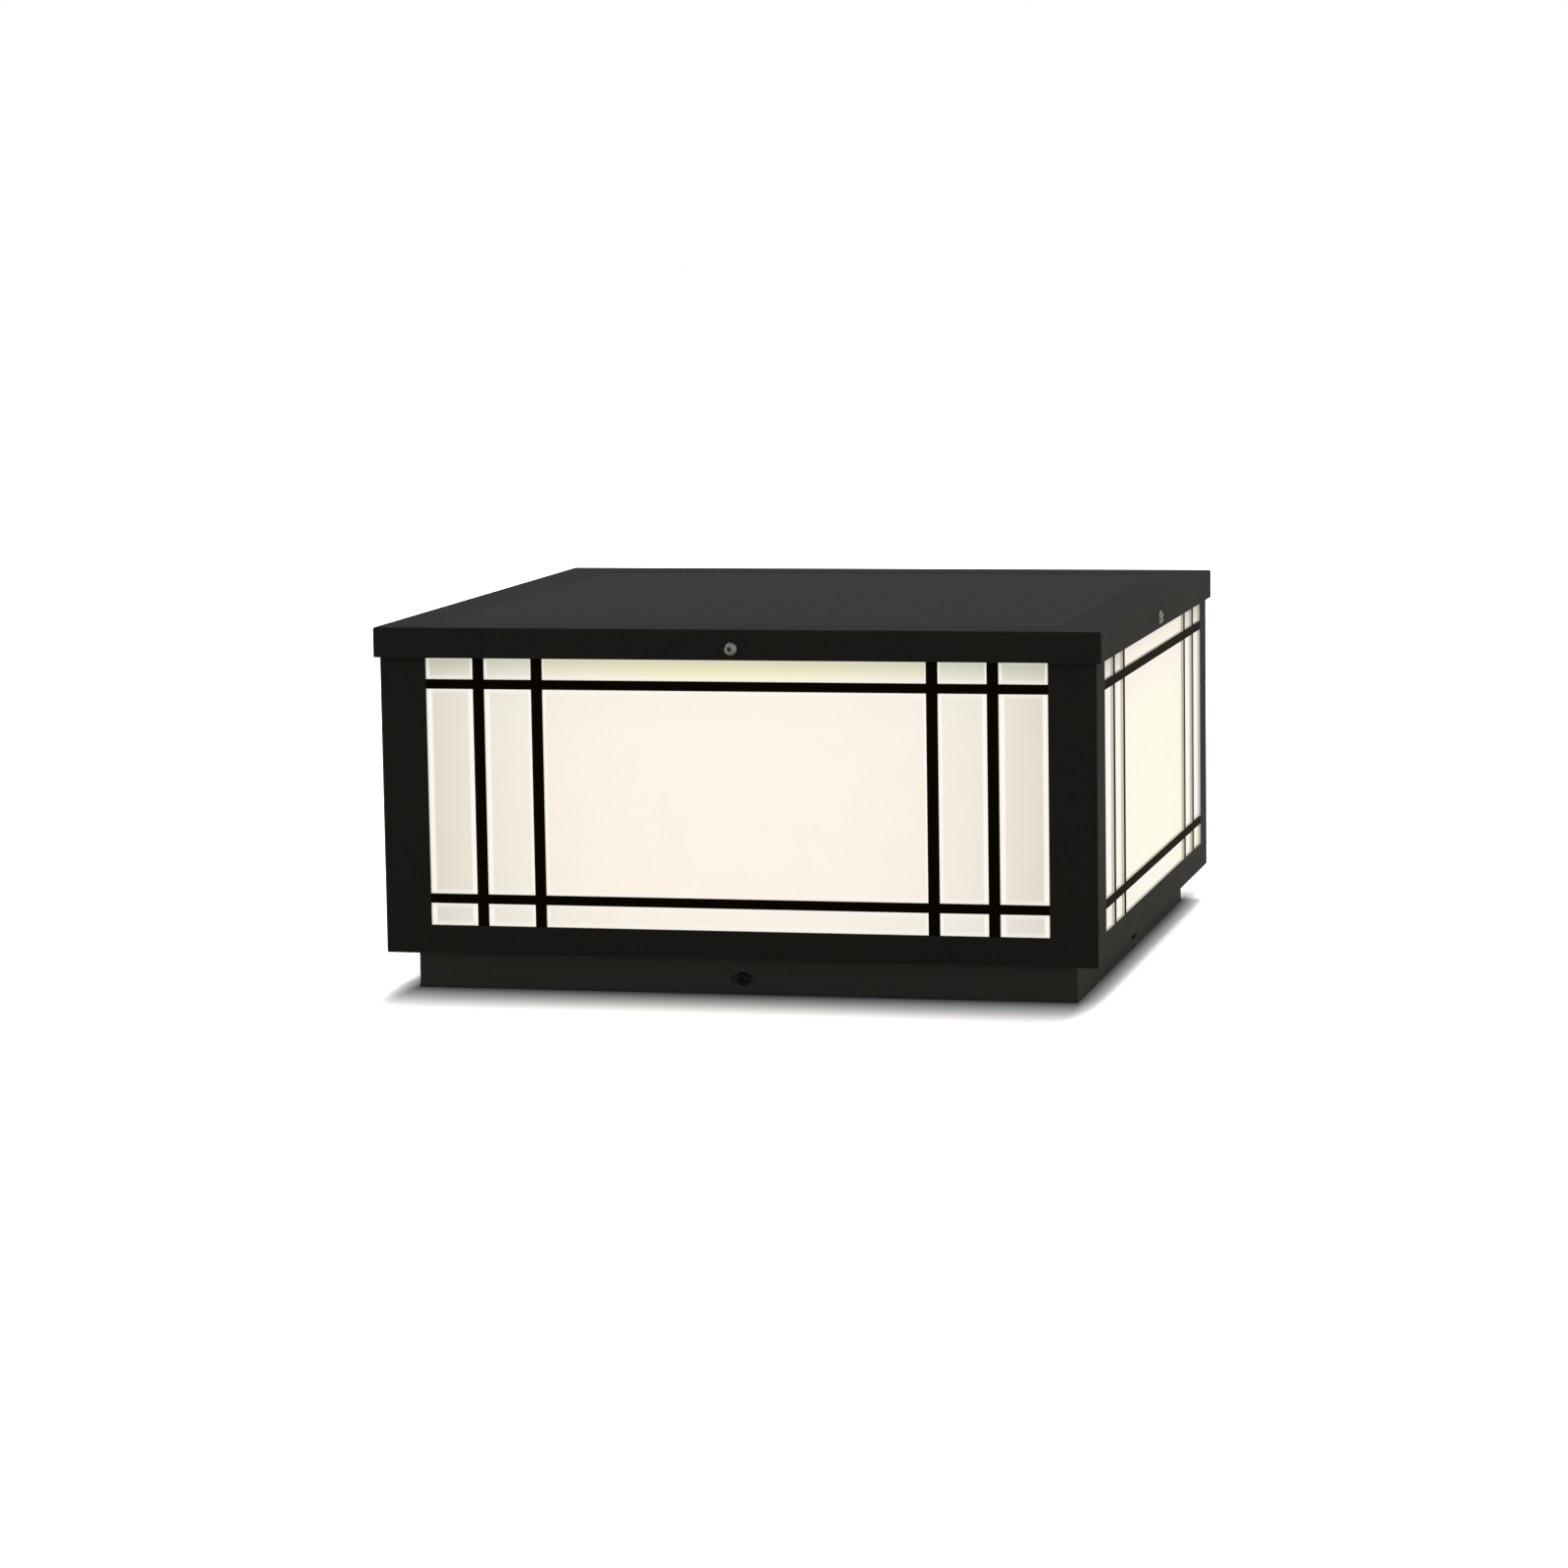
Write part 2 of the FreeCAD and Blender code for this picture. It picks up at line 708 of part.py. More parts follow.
def pane_spans():
    """The low and high ends of each pane: the five columns along the side, and the three rows up it."""
    outer = window_half - size.side_pane_width
    second = outer - size.upright_width
    inner = second - size.side_pane_width
    centre = inner - size.upright_width
    columns = [
        (-window_half, -outer), (-second, -inner), (-centre, centre), (inner, second), (outer, window_half),
    ]
    low = window_bottom + size.edge_pane_height
    high = window_top - size.edge_pane_height
    rows = [
        (window_bottom, low),
        (low + size.crossbar_height, high - size.crossbar_height),
        (high, window_top),
    ]
    return columns, rows


def make_side_panel(side):
    """A flat sheet, mitred at its corners, with a window, its bars and an open notch for the lid's screw."""
    title = SIDES[side].capitalize()
    body = doc.addObject("PartDesign::Body", title + "Panel")
    chamfer = size.panel_corner_chamfer
    plan = sketch(body, title + "PanelPlan", "XY_Plane", body_floor)
    polygon(plan, [
        (-panel_face, -panel_face), (chamfer / 2 - body_half, chamfer / 2 - body_half),
        (chamfer - body_half, -body_half), (body_half - chamfer, -body_half),
        (body_half - chamfer / 2, chamfer / 2 - body_half), (panel_face, -panel_face),
    ])
    pad(body, title + "PanelSheet", plan, body_top - body_floor)
    window = sketch(body, title + "Window", "XZ_Plane", 0)
    rectangle(window, (-window_half, window_half), (window_bottom, window_top))
    notch_half = size.screw_radius + size.screw_gap
    rectangle(window, (-notch_half, notch_half), (lid_screw_level - notch_half, body_top + size.overrun))
    pocket(body, title + "WindowCut", window, reverse=True)
    columns, rows = pane_spans()
    uprights = sketch(body, title + "Uprights", "XZ_Plane", panel_face)
    for (_, left), (right, _) in zip(columns, columns[1:]):
        rectangle(uprights, (left, right), (window_bottom, window_top))
    pad(body, title + "UprightsPad", uprights, size.panel_wall)
    crossbars = sketch(body, title + "Crossbars", "XZ_Plane", panel_face)
    for (_, low), (high, _) in zip(rows, rows[1:]):
        rectangle(crossbars, (-window_half, window_half), (low, high))
    pad(body, title + "CrossbarsPad", crossbars, size.panel_wall)
    body.Placement = Placement(Vector(), side_turn(side))
    node(SIDES[side] + "_panel", body)


def make_diffuser(side):
    """A milk-white sheet behind a panel, with a raised field in each pane whose edges are bevelled."""
    title = SIDES[side].capitalize()
    body = doc.addObject("PartDesign::Body", title + "Diffuser")
    sheet = sketch(body, title + "DiffuserSheet", "XZ_Plane", diffuser_back)
    rectangle(sheet, (-diffuser_half, diffuser_half), (diffuser_bottom, diffuser_top))
    pad(body, title + "DiffuserPad", sheet, size.diffuser_wall)
    columns, rows = pane_spans()
    gap = size.field_gap
    slope = "-atan(%s)" % (size.field_bevel / size.field_rise).text
    for k, (low, high) in enumerate(rows):
        fields = sketch(body, "%sDiffuserRow%d" % (title, k), "XZ_Plane", panel_face)
        for left, right in columns:
            rectangle(fields, (left + gap, right - gap), (low + gap, high - gap))
        pad(body, "%sDiffuserRowPad%d" % (title, k), fields, size.field_rise, slope)
    body.Placement = Placement(Vector(), side_turn(side))
    node(SIDES[side] + "_diffuser", body)


def clip_levels():
    return (diffuser_bottom + size.clip_end_gap, diffuser_top - size.clip_end_gap)


def clip_foot_span():
    """How far along a side a clip's foot begins, at its web, and ends."""
    return diffuser_half + size.clip_inset, angle_face - size.clip_foot_gap


def clip_centre():
    near, far = clip_foot_span()
    return (near + far) / 2


def make_corner_angle(corner):
    """An L-shaped upright inside a corner, from the floor pan to the top ring, with holes for the clip rivets."""
    name = CORNERS[corner]
    end = panel_face - size.angle_leg
    z = (floor_top, ring_under)
    leg_a = box(name + "_leg_a", (end, panel_face), (-panel_face, -angle_face), z)
    leg_b = box(name + "_leg_b", (angle_face, panel_face), (-panel_face, -end), z)
    legs = fuse(name + "_legs", leg_a, leg_b)
    holes = []
    radius = size.rivet_radius + size.rivet_gap
    for k, level in enumerate(clip_levels()):
        span = (-panel_face - size.overrun, size.overrun - angle_face)
        holes.append(rod("%s_hole_a%d" % (name, k), radius, *span, (clip_centre(), level), lying=True))
        across = rod("%s_hole_b%d" % (name, k), radius, 0, size.angle_wall + size.overrun * 2, (0, 0))
        turn = Rotation(Vector(0, 1, 0), QUARTER_TURN)
        holes.append(set_out(across, angle_face - size.overrun, -clip_centre(), level, turn))
    angle = cut(name + "_drilled", legs, *holes)
    angle.Placement = Placement(Vector(), side_turn(corner))
    node(name + "_corner_angle", angle)


def make_diffuser_clips():
    """Z-shaped clips: each foot is riveted to a corner angle, and its lip holds the diffuser against the panel."""
    clips = []
    web, foot_end = clip_foot_span()
    half = size.clip_height / 2
    lip_in = diffuser_back - size.clip_wall
    for side in range(len(SIDES)):
        for sign in (-1, 1):
            for k, level in enumerate(clip_levels()):
                name = "clip_%d%d%d" % (side, sign + 1, k)
                z = (level - half, level + half)

                def span(near, far):
                    return (near, far) if sign > 0 else (-far, -near)

                foot = box(
                    name + "_foot", span(web - size.clip_wall, foot_end),
                    (-angle_face, size.clip_wall - angle_face), z)
                riser = box(name + "_riser", span(web - size.clip_wall, web), (-angle_face, -lip_in), z)
                lip = box(
                    name + "_lip", span(diffuser_half - size.clip_lap, web),
                    (-diffuser_back, -lip_in), z)
                hole = rod(
                    name + "_hole", size.rivet_radius + size.rivet_gap, -angle_face - size.overrun,
                    size.clip_wall - angle_face + size.overrun, (clip_centre() * sign, level), lying=True)
                clip = cut(name, fuse(name + "_bent", foot, riser, lip), hole)
                clips.append(set_out(clip, 0, 0, 0, side_turn(side)))
    node("diffuser_clips", group("diffuser_clip_set", clips))


def make_clip_rivets():
    rivets = []
    head_seat = angle_face - size.clip_wall
    for side in range(len(SIDES)):
        for sign in (-1, 1):
            for k, level in enumerate(clip_levels()):
                one = rivet("clip_rivet_%d%d%d" % (side, sign + 1, k), size.clip_wall + size.angle_wall)
                x, y = around(side, clip_centre() * sign, head_seat)
                inward = Rotation(Vector(1, 0, 0), -QUARTER_TURN)
                rivets.append(set_out(one, x, y, level, side_turn(side) * inward))
    node("clip_rivets", group("clip_rivet_set", rivets))


def make_top_ring():
    """An L-section ring round the body's top edge, notched open for each lid screw and its nut."""
    leg_face = panel_face - size.ring_wall
    flange = box("ring_plate", (-panel_face, panel_face), (-panel_face, panel_face), (ring_under, body_top))
    legs = []
    for k, (low, high) in enumerate(((-panel_face, -leg_face), (leg_face, panel_face))):
        along = (-flange_end, flange_end)
        legs.append(box("ring_leg_x%d" % k, along, (low, high), (ring_leg_bottom, body_top)))
        legs.append(box("ring_leg_y%d" % k, (low, high), along, (ring_leg_bottom, body_top)))
    above = body_top + size.overrun
    mouth = (-ring_inner, ring_inner)
    tools = [box("ring_mouth", mouth, mouth, (ring_under - size.overrun, above))]
    shank = size.screw_radius + size.screw_gap
    nut = size.nut_flats * HEX_CORNER_SHARE + size.nut_slot_gap
    notch_bottom = lid_screw_level - shank
    past = panel_face + size.overrun
    for side, along in (("x", True), ("y", False)):
        spans = ((-shank, shank), (-past, past))
        x, y = spans if along else spans[::-1]
        tools.append(box("ring_notch_" + side, x, y, (notch_bottom, above)))
        spans = ((-nut, nut), (-leg_face, leg_face))
        x, y = spans if along else spans[::-1]
        tools.append(box("ring_nut_way_" + side, x, y, (ring_under - size.overrun, above)))
    node("top_ring", cut("ring_notched", fuse("ring_whole", flange, *legs), *tools))


# the lid

def make_lid_cap():
    """The folded lid: a skirt, a recess that the solar panel drops into, and a ledge under the panel's edge."""
    body = doc.addObject("PartDesign::Body", "LidCap")
    skirt_face = lid_half - size.lid_wall
    outline = sketch(body, "LidOutline", "XY_Plane", skirt_bottom)
    rectangle(outline, (-lid_half, lid_half), (-lid_half, lid_half))
    pad(body, "LidBlock", outline, size.skirt_height)
    fillet(body, "LidCorners", lambda edge: stands_upright_at(edge, lid_half), size.lid_corner_radius)

    def on_top_rim(edge):
        span = edge.BoundBox
        return span.ZLength < SMALL and abs(span.ZMin - size.lamp_height.value) < SMALL

    fillet(body, "LidRim", on_top_rim, size.lid_edge_radius)
    hollow = sketch(body, "LidHollow", "XY_Plane", lid_under)
    rectangle(hollow, (-skirt_face, skirt_face), (-skirt_face, skirt_face))
    pocket(body, "LidHollowCut", hollow)
    recess_half = opening_half + size.lid_wall
    recess = sketch(body, "LidRecess", "XY_Plane", ledge_bottom)
    rectangle(recess, (-recess_half, recess_half), (-recess_half, recess_half))
    pad(body, "LidRecessPad", recess, lid_under - ledge_bottom)
    opening = sketch(body, "LidOpening", "XY_Plane", size.lamp_height)
    rectangle(opening, (-opening_half, opening_half), (-opening_half, opening_half))
    pocket(body, "LidOpeningCut", opening, size.lamp_height - ledge_top)
    ledge_half = opening_half - size.ledge_width
    through = sketch(body, "LidLedge", "XY_Plane", size.lamp_height)
    rectangle(through, (-ledge_half, ledge_half), (-ledge_half, ledge_half))
    pocket(body, "LidLedgeCut", through)
    for role, name in (("XZ_Plane", "LidFrontBackHoles"), ("YZ_Plane", "LidSideHoles")):
        holes = sketch(body, name, role, 0)
        circle(holes, (0, lid_screw_level), size.screw_radius + size.screw_gap)
        pocket(body, name + "Cut", holes, both_ways=True)
    node("lid_cap", body)


def make_lid_gasket():
    """Foam between the lid and the top ring, glued to the lid."""
    outer = panel_face - size.lid_gasket_inset
    inner = ring_inner + size.lid_gasket_inset
    z = (body_top, lid_under)
    sheet = box("lid_gasket_blank", (-outer, outer), (-outer, outer), z)
    hole = box("lid_gasket_hole", (-inner, inner), (-inner, inner), (z[0] - size.overrun, z[1] + size.overrun))
    node("lid_gasket", cut("lid_gasket_ring", sheet, hole))


def make_lid_screws():
    """Screws through the lid's skirt and the top ring's notches, into the lid's nuts."""
    screws = []
    passed = size.lid_wall + size.lid_gap + size.panel_wall + size.ring_wall + size.nut_height
    for side in range(len(SIDES)):
        x, y = around(side, as_size(0), lid_half)
        screw = big_screw("lid_screw_%d" % side, passed + size.lid_screw_end)
        screws.append(set_out(screw, x, y, lid_screw_level, side_turn(side) * OUTWARD))
    node("lid_screws", group("lid_screw_set", screws))


def hex_nut(name, flats, height, bore):
    """A nut that stands on z = 0."""
    blank = prism(name + "_blank", flats, 0, height, (0, 0))
    hole = rod(name + "_bore", bore, -size.overrun, height + size.overrun, (0, 0))
    return cut(name, blank, hole)


def make_lid_nuts():
    """Nuts behind the top ring, which leave through its notches with the lid."""
    nuts = []
    seat = panel_face - size.ring_wall
    for side in range(len(SIDES)):
        bore = size.screw_radius + size.thread_gap
        nut = hex_nut("lid_nut_%d" % side, size.nut_flats, size.nut_height, bore)
        x, y = around(side, as_size(0), seat)
        inward = Rotation(Vector(1, 0, 0), -QUARTER_TURN)
        nuts.append(set_out(nut, x, y, lid_screw_level, side_turn(side) * inward))
    node("lid_nuts", group("lid_nut_set", nuts))


# the solar panel

def make_solar_panel():
    """Glass, ribbons, cells, backsheet and seal, stacked in the lid's recess."""
    across = (-glass_half, glass_half)
    node("solar_glass", box("glass", across, across, (glass_bottom, glass_top)))
    node("solar_backsheet", box("backsheet", across, across, (backsheet_bottom, backsheet_top)))
    inner = glass_half - size.seal_width
    z = (ledge_top, backsheet_bottom)
    blank = box("seal_blank", across, across, z)
    hole = box("seal_hole", (-inner, inner), (-inner, inner), (z[0] - size.overrun, z[1] + size.overrun))
    node("panel_seal", cut("seal", blank, hole))


def cell_spans():
    """The low and high end of each cell in a row."""
    row = (glass_half - size.cell_margin) * 2
    side = (row - size.cell_gap * (CELLS_PER_ROW - 1)) / CELLS_PER_ROW
    lows = [(side + size.cell_gap) * k - row / 2 for k in range(CELLS_PER_ROW)]
    return [(low, low + side) for low in lows]


def make_solar_cells():
    cells = []
    for i, x in enumerate(cell_spans()):
        for j, y in enumerate(cell_spans()):
            cells.append(box("cell_%d%d" % (i, j), x, y, (backsheet_top, cell_top)))
    node("solar_cells", group("cell_set", cells))


def make_solar_ribbons():
    """Two flat ribbons down each column of cells."""
    ribbons = []
    spans = cell_spans()
    y = (spans[0][0] - size.ribbon_end, spans[-1][1] + size.ribbon_end)
    for i, (low, high) in enumerate(spans):
        for k in range(RIBBONS_PER_CELL):
            middle = low + (high - low) * (2 * k + 1) / (2 * RIBBONS_PER_CELL)
            x = (middle - size.ribbon_width / 2, middle + size.ribbon_width / 2)
            ribbons.append(box("ribbon_%d%d" % (i, k), x, y, (cell_top, glass_bottom)))
    node("solar_ribbons", group("ribbon_set", ribbons))


def make_junction_box():
    half_x = size.junction_length / 2
    half_y = size.junction_width / 2
    y = (size.junction_back - half_y, size.junction_back + half_y)
    z = (backsheet_bottom - size.junction_height, backsheet_bottom)
    node("junction_box", box("junction", (-half_x, half_x), y, z))


# the gear tray and what it carries

def stud_places():
    out = (gear_half + gear_flange_half) / 2
    half = size.stud_spread / 2
    return [around(side, along, out) for side in range(len(SIDES)) for along in (-half, half)]


def board_screw_places():
    half = board_screw_half
    return [(x, y) for x in (-half, half) for y in (-half, half)]


def lead_hole_place():
    """Where the light board's lead goes through the tray: straight behind its way out of the controller."""
    _, (_, control_far), _ = control_spans()
    return size.control_right + size.control_length * LED_LEAD_ENTRY_SHARE, control_far + size.led_lead_run


def make_gear_tray():
    """A pan that hangs under the lid by its outward flange."""
    inner = gear_half - size.gear_wall
    across = (-gear_flange_half, gear_flange_half)
    walls = box("gear_walls", (-gear_half, gear_half), (-gear_half, gear_half), (gear_bottom, lid_under))
    flange = box("gear_flange", across, across, (lid_under - size.gear_wall, lid_under))
    tools = [box("gear_hollow", (-inner, inner), (-inner, inner), (gear_top, lid_under + size.overrun))]
    stud_hole = size.screw_radius + size.stud_gap
    for k, place in enumerate(stud_places()):
        z = (lid_under - size.gear_wall - size.overrun, lid_under + size.overrun)
        tools.append(rod("gear_stud_hole_%d" % k, stud_hole, *z, place))
    z = (gear_bottom - size.overrun, gear_top + size.overrun)
    for k, place in enumerate(board_screw_places()):
        tools.append(rod("gear_board_hole_%d" % k, size.small_screw_radius + size.thread_gap, *z, place))
    tools.append(rod("gear_button_hole", barrel_radius + size.button_gap, *z, (button_out, button_out)))
    lead_hole = size.lead_radius + size.lead_hole_gap
    tools.append(rod("gear_lead_hole", lead_hole, *z, lead_hole_place()))
    node("gear_tray", cut("gear_pan", fuse("gear_blank", walls, flange), *tools))


def make_tray_studs_and_nuts():
    """Studs welded under the lid, and the nuts that hold the gear tray's flange up against it."""
    studs, nuts = [], []
    nut_top = lid_under - size.gear_wall
    stud_low = nut_top - size.nut_height - size.stud_end
    for k, (x, y) in enumerate(stud_places()):
        studs.append(rod("tray_stud_%d" % k, size.screw_radius, stud_low, lid_under, (x, y)))
        nut = hex_nut("tray_nut_%d" % k, size.nut_flats, size.nut_height, size.screw_radius + size.thread_gap)
        nuts.append(set_out(nut, x, y, nut_top - size.nut_height, Rotation()))
    node("tray_studs", group("tray_stud_set", studs))
    node("tray_nuts", group("tray_nut_set", nuts))


def battery_spans():
    """The battery case's outer ends along X, Y and Z."""
    half_x = battery_pitch * BATTERY_CELLS / 2 + size.battery_wall
    half_y = size.battery_cell_length / 2 + size.battery_end_gap + size.battery_wall
    x, y = -size.battery_left, -size.battery_front
    return (x - half_x, x + half_x), (y - half_y, y + half_y), (gear_top, gear_top + battery_height)


def battery_screw_places():
    (x_low, x_high), _, _ = battery_spans()
    middle = -size.battery_front
    half = size.battery_ear / 2
    return [(x_low - half, middle), (x_high + half, middle)]


def ear_box(name, place, half, z):
    x, y = place
    return box(name, (x - half, x + half), (y - half, y + half), z)


def make_battery_case():
    (x_low, x_high), (y_low, y_high), (z_low, z_high) = battery_spans()
    wall = size.battery_wall
    places = battery_screw_places()
    half = size.battery_ear / 2
    ears = [ear_box("battery_ear_%d" % k, place, half, (z_low, z_high)) for k, place in enumerate(places)]
    outer = box("battery_outer", (x_low, x_high), (y_low, y_high), (z_low, z_high))
    above = z_high + size.overrun
    hollow = box("battery_hollow", (x_low + wall, x_high - wall), (y_low + wall, y_high - wall), (z_low + wall, above))
    bore = size.small_screw_radius + size.thread_gap
    depth = size.small_screw_length
    holes = [
        rod("battery_bore_%d" % k, bore, z_high - depth, above, place) for k, place in enumerate(places)
    ]
    node("battery_case", cut("battery_shell", fuse("battery_block", outer, *ears), hollow, *holes))


def make_battery_cells():
    """Round cells side by side, joined by a flat link at each end."""
    (x_low, x_high), _, (z_low, _) = battery_spans()
    wall = size.battery_wall
    centre = z_low + wall + size.battery_cell_radius
    length_half = size.battery_cell_length / 2
    y = (-size.battery_front - length_half, length_half - size.battery_front)
    cells = []
    for k in range(BATTERY_CELLS):
        x = x_low + wall + battery_pitch * (2 * k + 1) / 2
        cells.append(rod("battery_cell_%d" % k, size.battery_cell_radius, *y, (x, centre), lying=True))
    node("battery_cells", group("battery_cell_set", cells))

    links = []
    link_z = (centre - size.link_height / 2, centre + size.link_height / 2)
    link_x = (x_low + wall + battery_pitch / 4, x_high - wall - battery_pitch / 4)
    links.append(box("link_front", link_x, (y[0] - size.link_wall, y[0]), link_z))
    links.append(box("link_back", link_x, (y[1], y[1] + size.link_wall), link_z))
    node("cell_links", group("cell_link_set", links))


def make_battery_cover():
    """The battery's cover and its two screws."""
    x_span, y_span, (_, z_high) = battery_spans()
    places = battery_screw_places()
    half = size.battery_ear / 2
    cover_z = (z_high, z_high + size.battery_cover_wall)
    plate = box("battery_cover_plate", x_span, y_span, cover_z)
    tabs = [ear_box("battery_tab_%d" % k, place, half, cover_z) for k, place in enumerate(places)]
    clear = size.small_screw_radius + size.screw_gap
    drills = [
        rod("battery_drill_%d" % k, clear, cover_z[0] - size.overrun, cover_z[1] + size.overrun, place)
        for k, place in enumerate(places)
    ]
    node("battery_cover", cut("battery_lid", fuse("battery_cover_block", plate, *tabs), *drills))
    screws = []
    for k, (x, place_y) in enumerate(places):
        screw = small_screw("battery_screw_%d" % k, size.small_screw_length)
        screws.append(set_out(screw, x, place_y, cover_z[1], Rotation()))
    node("battery_screws", group("battery_screw_set", screws))


def control_spans():
    """The controller case's outer ends along X, Y and Z."""
    half_x = size.control_length / 2
    half_y = size.control_width / 2
    x, y = size.control_right, -size.control_front
    inside = size.board_rib_height + size.board_wall + size.can_height + size.control_head_room
    top = gear_top + size.control_wall + inside
    return (x - half_x, x + half_x), (y - half_y, y + half_y), (gear_top, top)


def control_screw_places():
    (x_low, x_high), (y_low, _), _ = control_spans()
    half = size.control_ear / 2
    return [(x_low + half, y_low - half), (x_high - half, y_low - half)]


def make_control_case():
    """A case with two ribs for its board."""
    (x_low, x_high), (y_low, y_high), (z_low, z_high) = control_spans()
    wall = size.control_wall
    places = control_screw_places()
    half = size.control_ear / 2
    ears = [ear_box("control_ear_%d" % k, place, half, (z_low, z_high)) for k, place in enumerate(places)]
    outer = box("control_outer", (x_low, x_high), (y_low, y_high), (z_low, z_high))
    above = z_high + size.overrun
    hollow = box("control_hollow", (x_low + wall, x_high - wall), (y_low + wall, y_high - wall), (z_low + wall, above))
    bore = size.small_screw_radius + size.thread_gap
    holes = [
        rod("control_bore_%d" % k, bore, z_high - size.small_screw_length, above, place)
        for k, place in enumerate(places)
    ]
    shell = cut("control_shell", fuse("control_block", outer, *ears), hollow, *holes)
    rib_z = (z_low + wall, z_low + wall + size.board_rib_height)
    ribs = []
    for k, (rib_low, rib_high) in enumerate((
            (x_low + wall, x_low + wall + size.board_rib_width),
            (x_high - wall - size.board_rib_width, x_high - wall))):
        ribs.append(box("control_rib_%d" % k, (rib_low, rib_high), (y_low + wall, y_high - wall), rib_z))
    node("control_case", fuse("control_ribbed", shell, *ribs))


def make_control_board():
    """The board, and the coil, two cans, chip and terminal block that stand on it."""
    (x_low, x_high), (y_low, y_high), (z_low, _) = control_spans()
    gap = size.control_wall + size.board_gap
    board_low = z_low + size.control_wall + size.board_rib_height
    base = board_low + size.board_wall
    board = box("board", (x_low + gap, x_high - gap), (y_low + gap, y_high - gap), (board_low, base))
    node("control_board", board)

    middle_y = -size.control_front
    coil_x = size.control_right + size.control_length * COIL_SHARE
    can_x = size.control_right + size.control_length * CAN_SHARE
    chip_x = size.control_right + size.control_length * CHIP_SHARE
    ring = rod("coil_outer", size.coil_radius, base, base + size.coil_height, (coil_x, middle_y))
    eye = rod("coil_eye", size.coil_hole_radius, base - size.overrun, base + size.coil_height + size.overrun,
              (coil_x, middle_y))
    parts = [cut("coil", ring, eye)]
    for k, side in enumerate((-1, 1)):
        place = (can_x, middle_y + size.can_radius * side * 2)
        parts.append(rod("can_%d" % k, size.can_radius, base, base + size.can_height, place))
    chip_half = size.chip_side / 2
    chip_spans = (chip_x - chip_half, chip_x + chip_half), (middle_y - chip_half, middle_y + chip_half)
    parts.append(box("chip", *chip_spans, (base, base + size.chip_height)))
    block_half = size.terminal_length / 2
    block_y = (y_high - gap - size.board_gap - size.terminal_width, y_high - gap - size.board_gap)
    block_x = (chip_x - block_half, chip_x + block_half)
    parts.append(box("terminals", block_x, block_y, (base, base + size.terminal_height)))
    node("control_parts", group("control_part_set", parts))


def make_control_cover():
    """The controller's cover and its two screws."""
    x_span, y_span, (_, z_high) = control_spans()
    places = control_screw_places()
    half = size.control_ear / 2
    cover_z = (z_high, z_high + size.control_cover_wall)
    plate = box("control_cover_plate", x_span, y_span, cover_z)
    tabs = [ear_box("control_tab_%d" % k, place, half, cover_z) for k, place in enumerate(places)]
    drills = [
        rod("control_drill_%d" % k, size.small_screw_radius + size.screw_gap, cover_z[0] - size.overrun,
            cover_z[1] + size.overrun, place)
        for k, place in enumerate(places)
    ]
    node("control_cover", cut("control_lid", fuse("control_cover_block", plate, *tabs), *drills))
    screws = []
    for k, (x, y) in enumerate(places):
        screw = small_screw("control_screw_%d" % k, size.small_screw_length)
        screws.append(set_out(screw, x, y, cover_z[1], Rotation()))
    node("control_screws", group("control_screw_set", screws))


def make_light_board():
    """A white metal-core board under the gear tray, with rows of light chips that face down."""
    across = (-led_board_half, led_board_half)
    board = box("led_blank", across, across, (led_board_bottom, gear_bottom))
    clear = size.small_screw_radius + size.screw_gap
    z = (led_board_bottom - size.overrun, gear_bottom + size.overrun)
    holes = [rod("led_hole_%d" % k, clear, *z, place) for k, place in enumerate(board_screw_places())]
    node("led_board", cut("led_drilled", board, *holes))
    chips = []
    row = (led_board_half - size.led_margin) * 2
    pitch = row / (LEDS_PER_ROW - 1)
    z = (led_board_bottom - size.led_height, led_board_bottom)
    for i in range(LEDS_PER_ROW):
        for j in range(LEDS_PER_ROW):
            x, y = pitch * i - row / 2, pitch * j - row / 2
            x_span = (x - size.led_length / 2, x + size.led_length / 2)
            y_span = (y - size.led_width / 2, y + size.led_width / 2)
            chips.append(box("led_%d%d" % (i, j), x_span, y_span, z))
    node("led_chips", group("led_set", chips))
    screws = []
    for k, (x, y) in enumerate(board_screw_places()):
        screw = small_screw("board_screw_%d" % k, size.led_board_wall + size.gear_wall)
        screws.append(set_out(screw, x, y, led_board_bottom, DOWNWARD))
    node("board_screws", group("board_screw_set", screws))


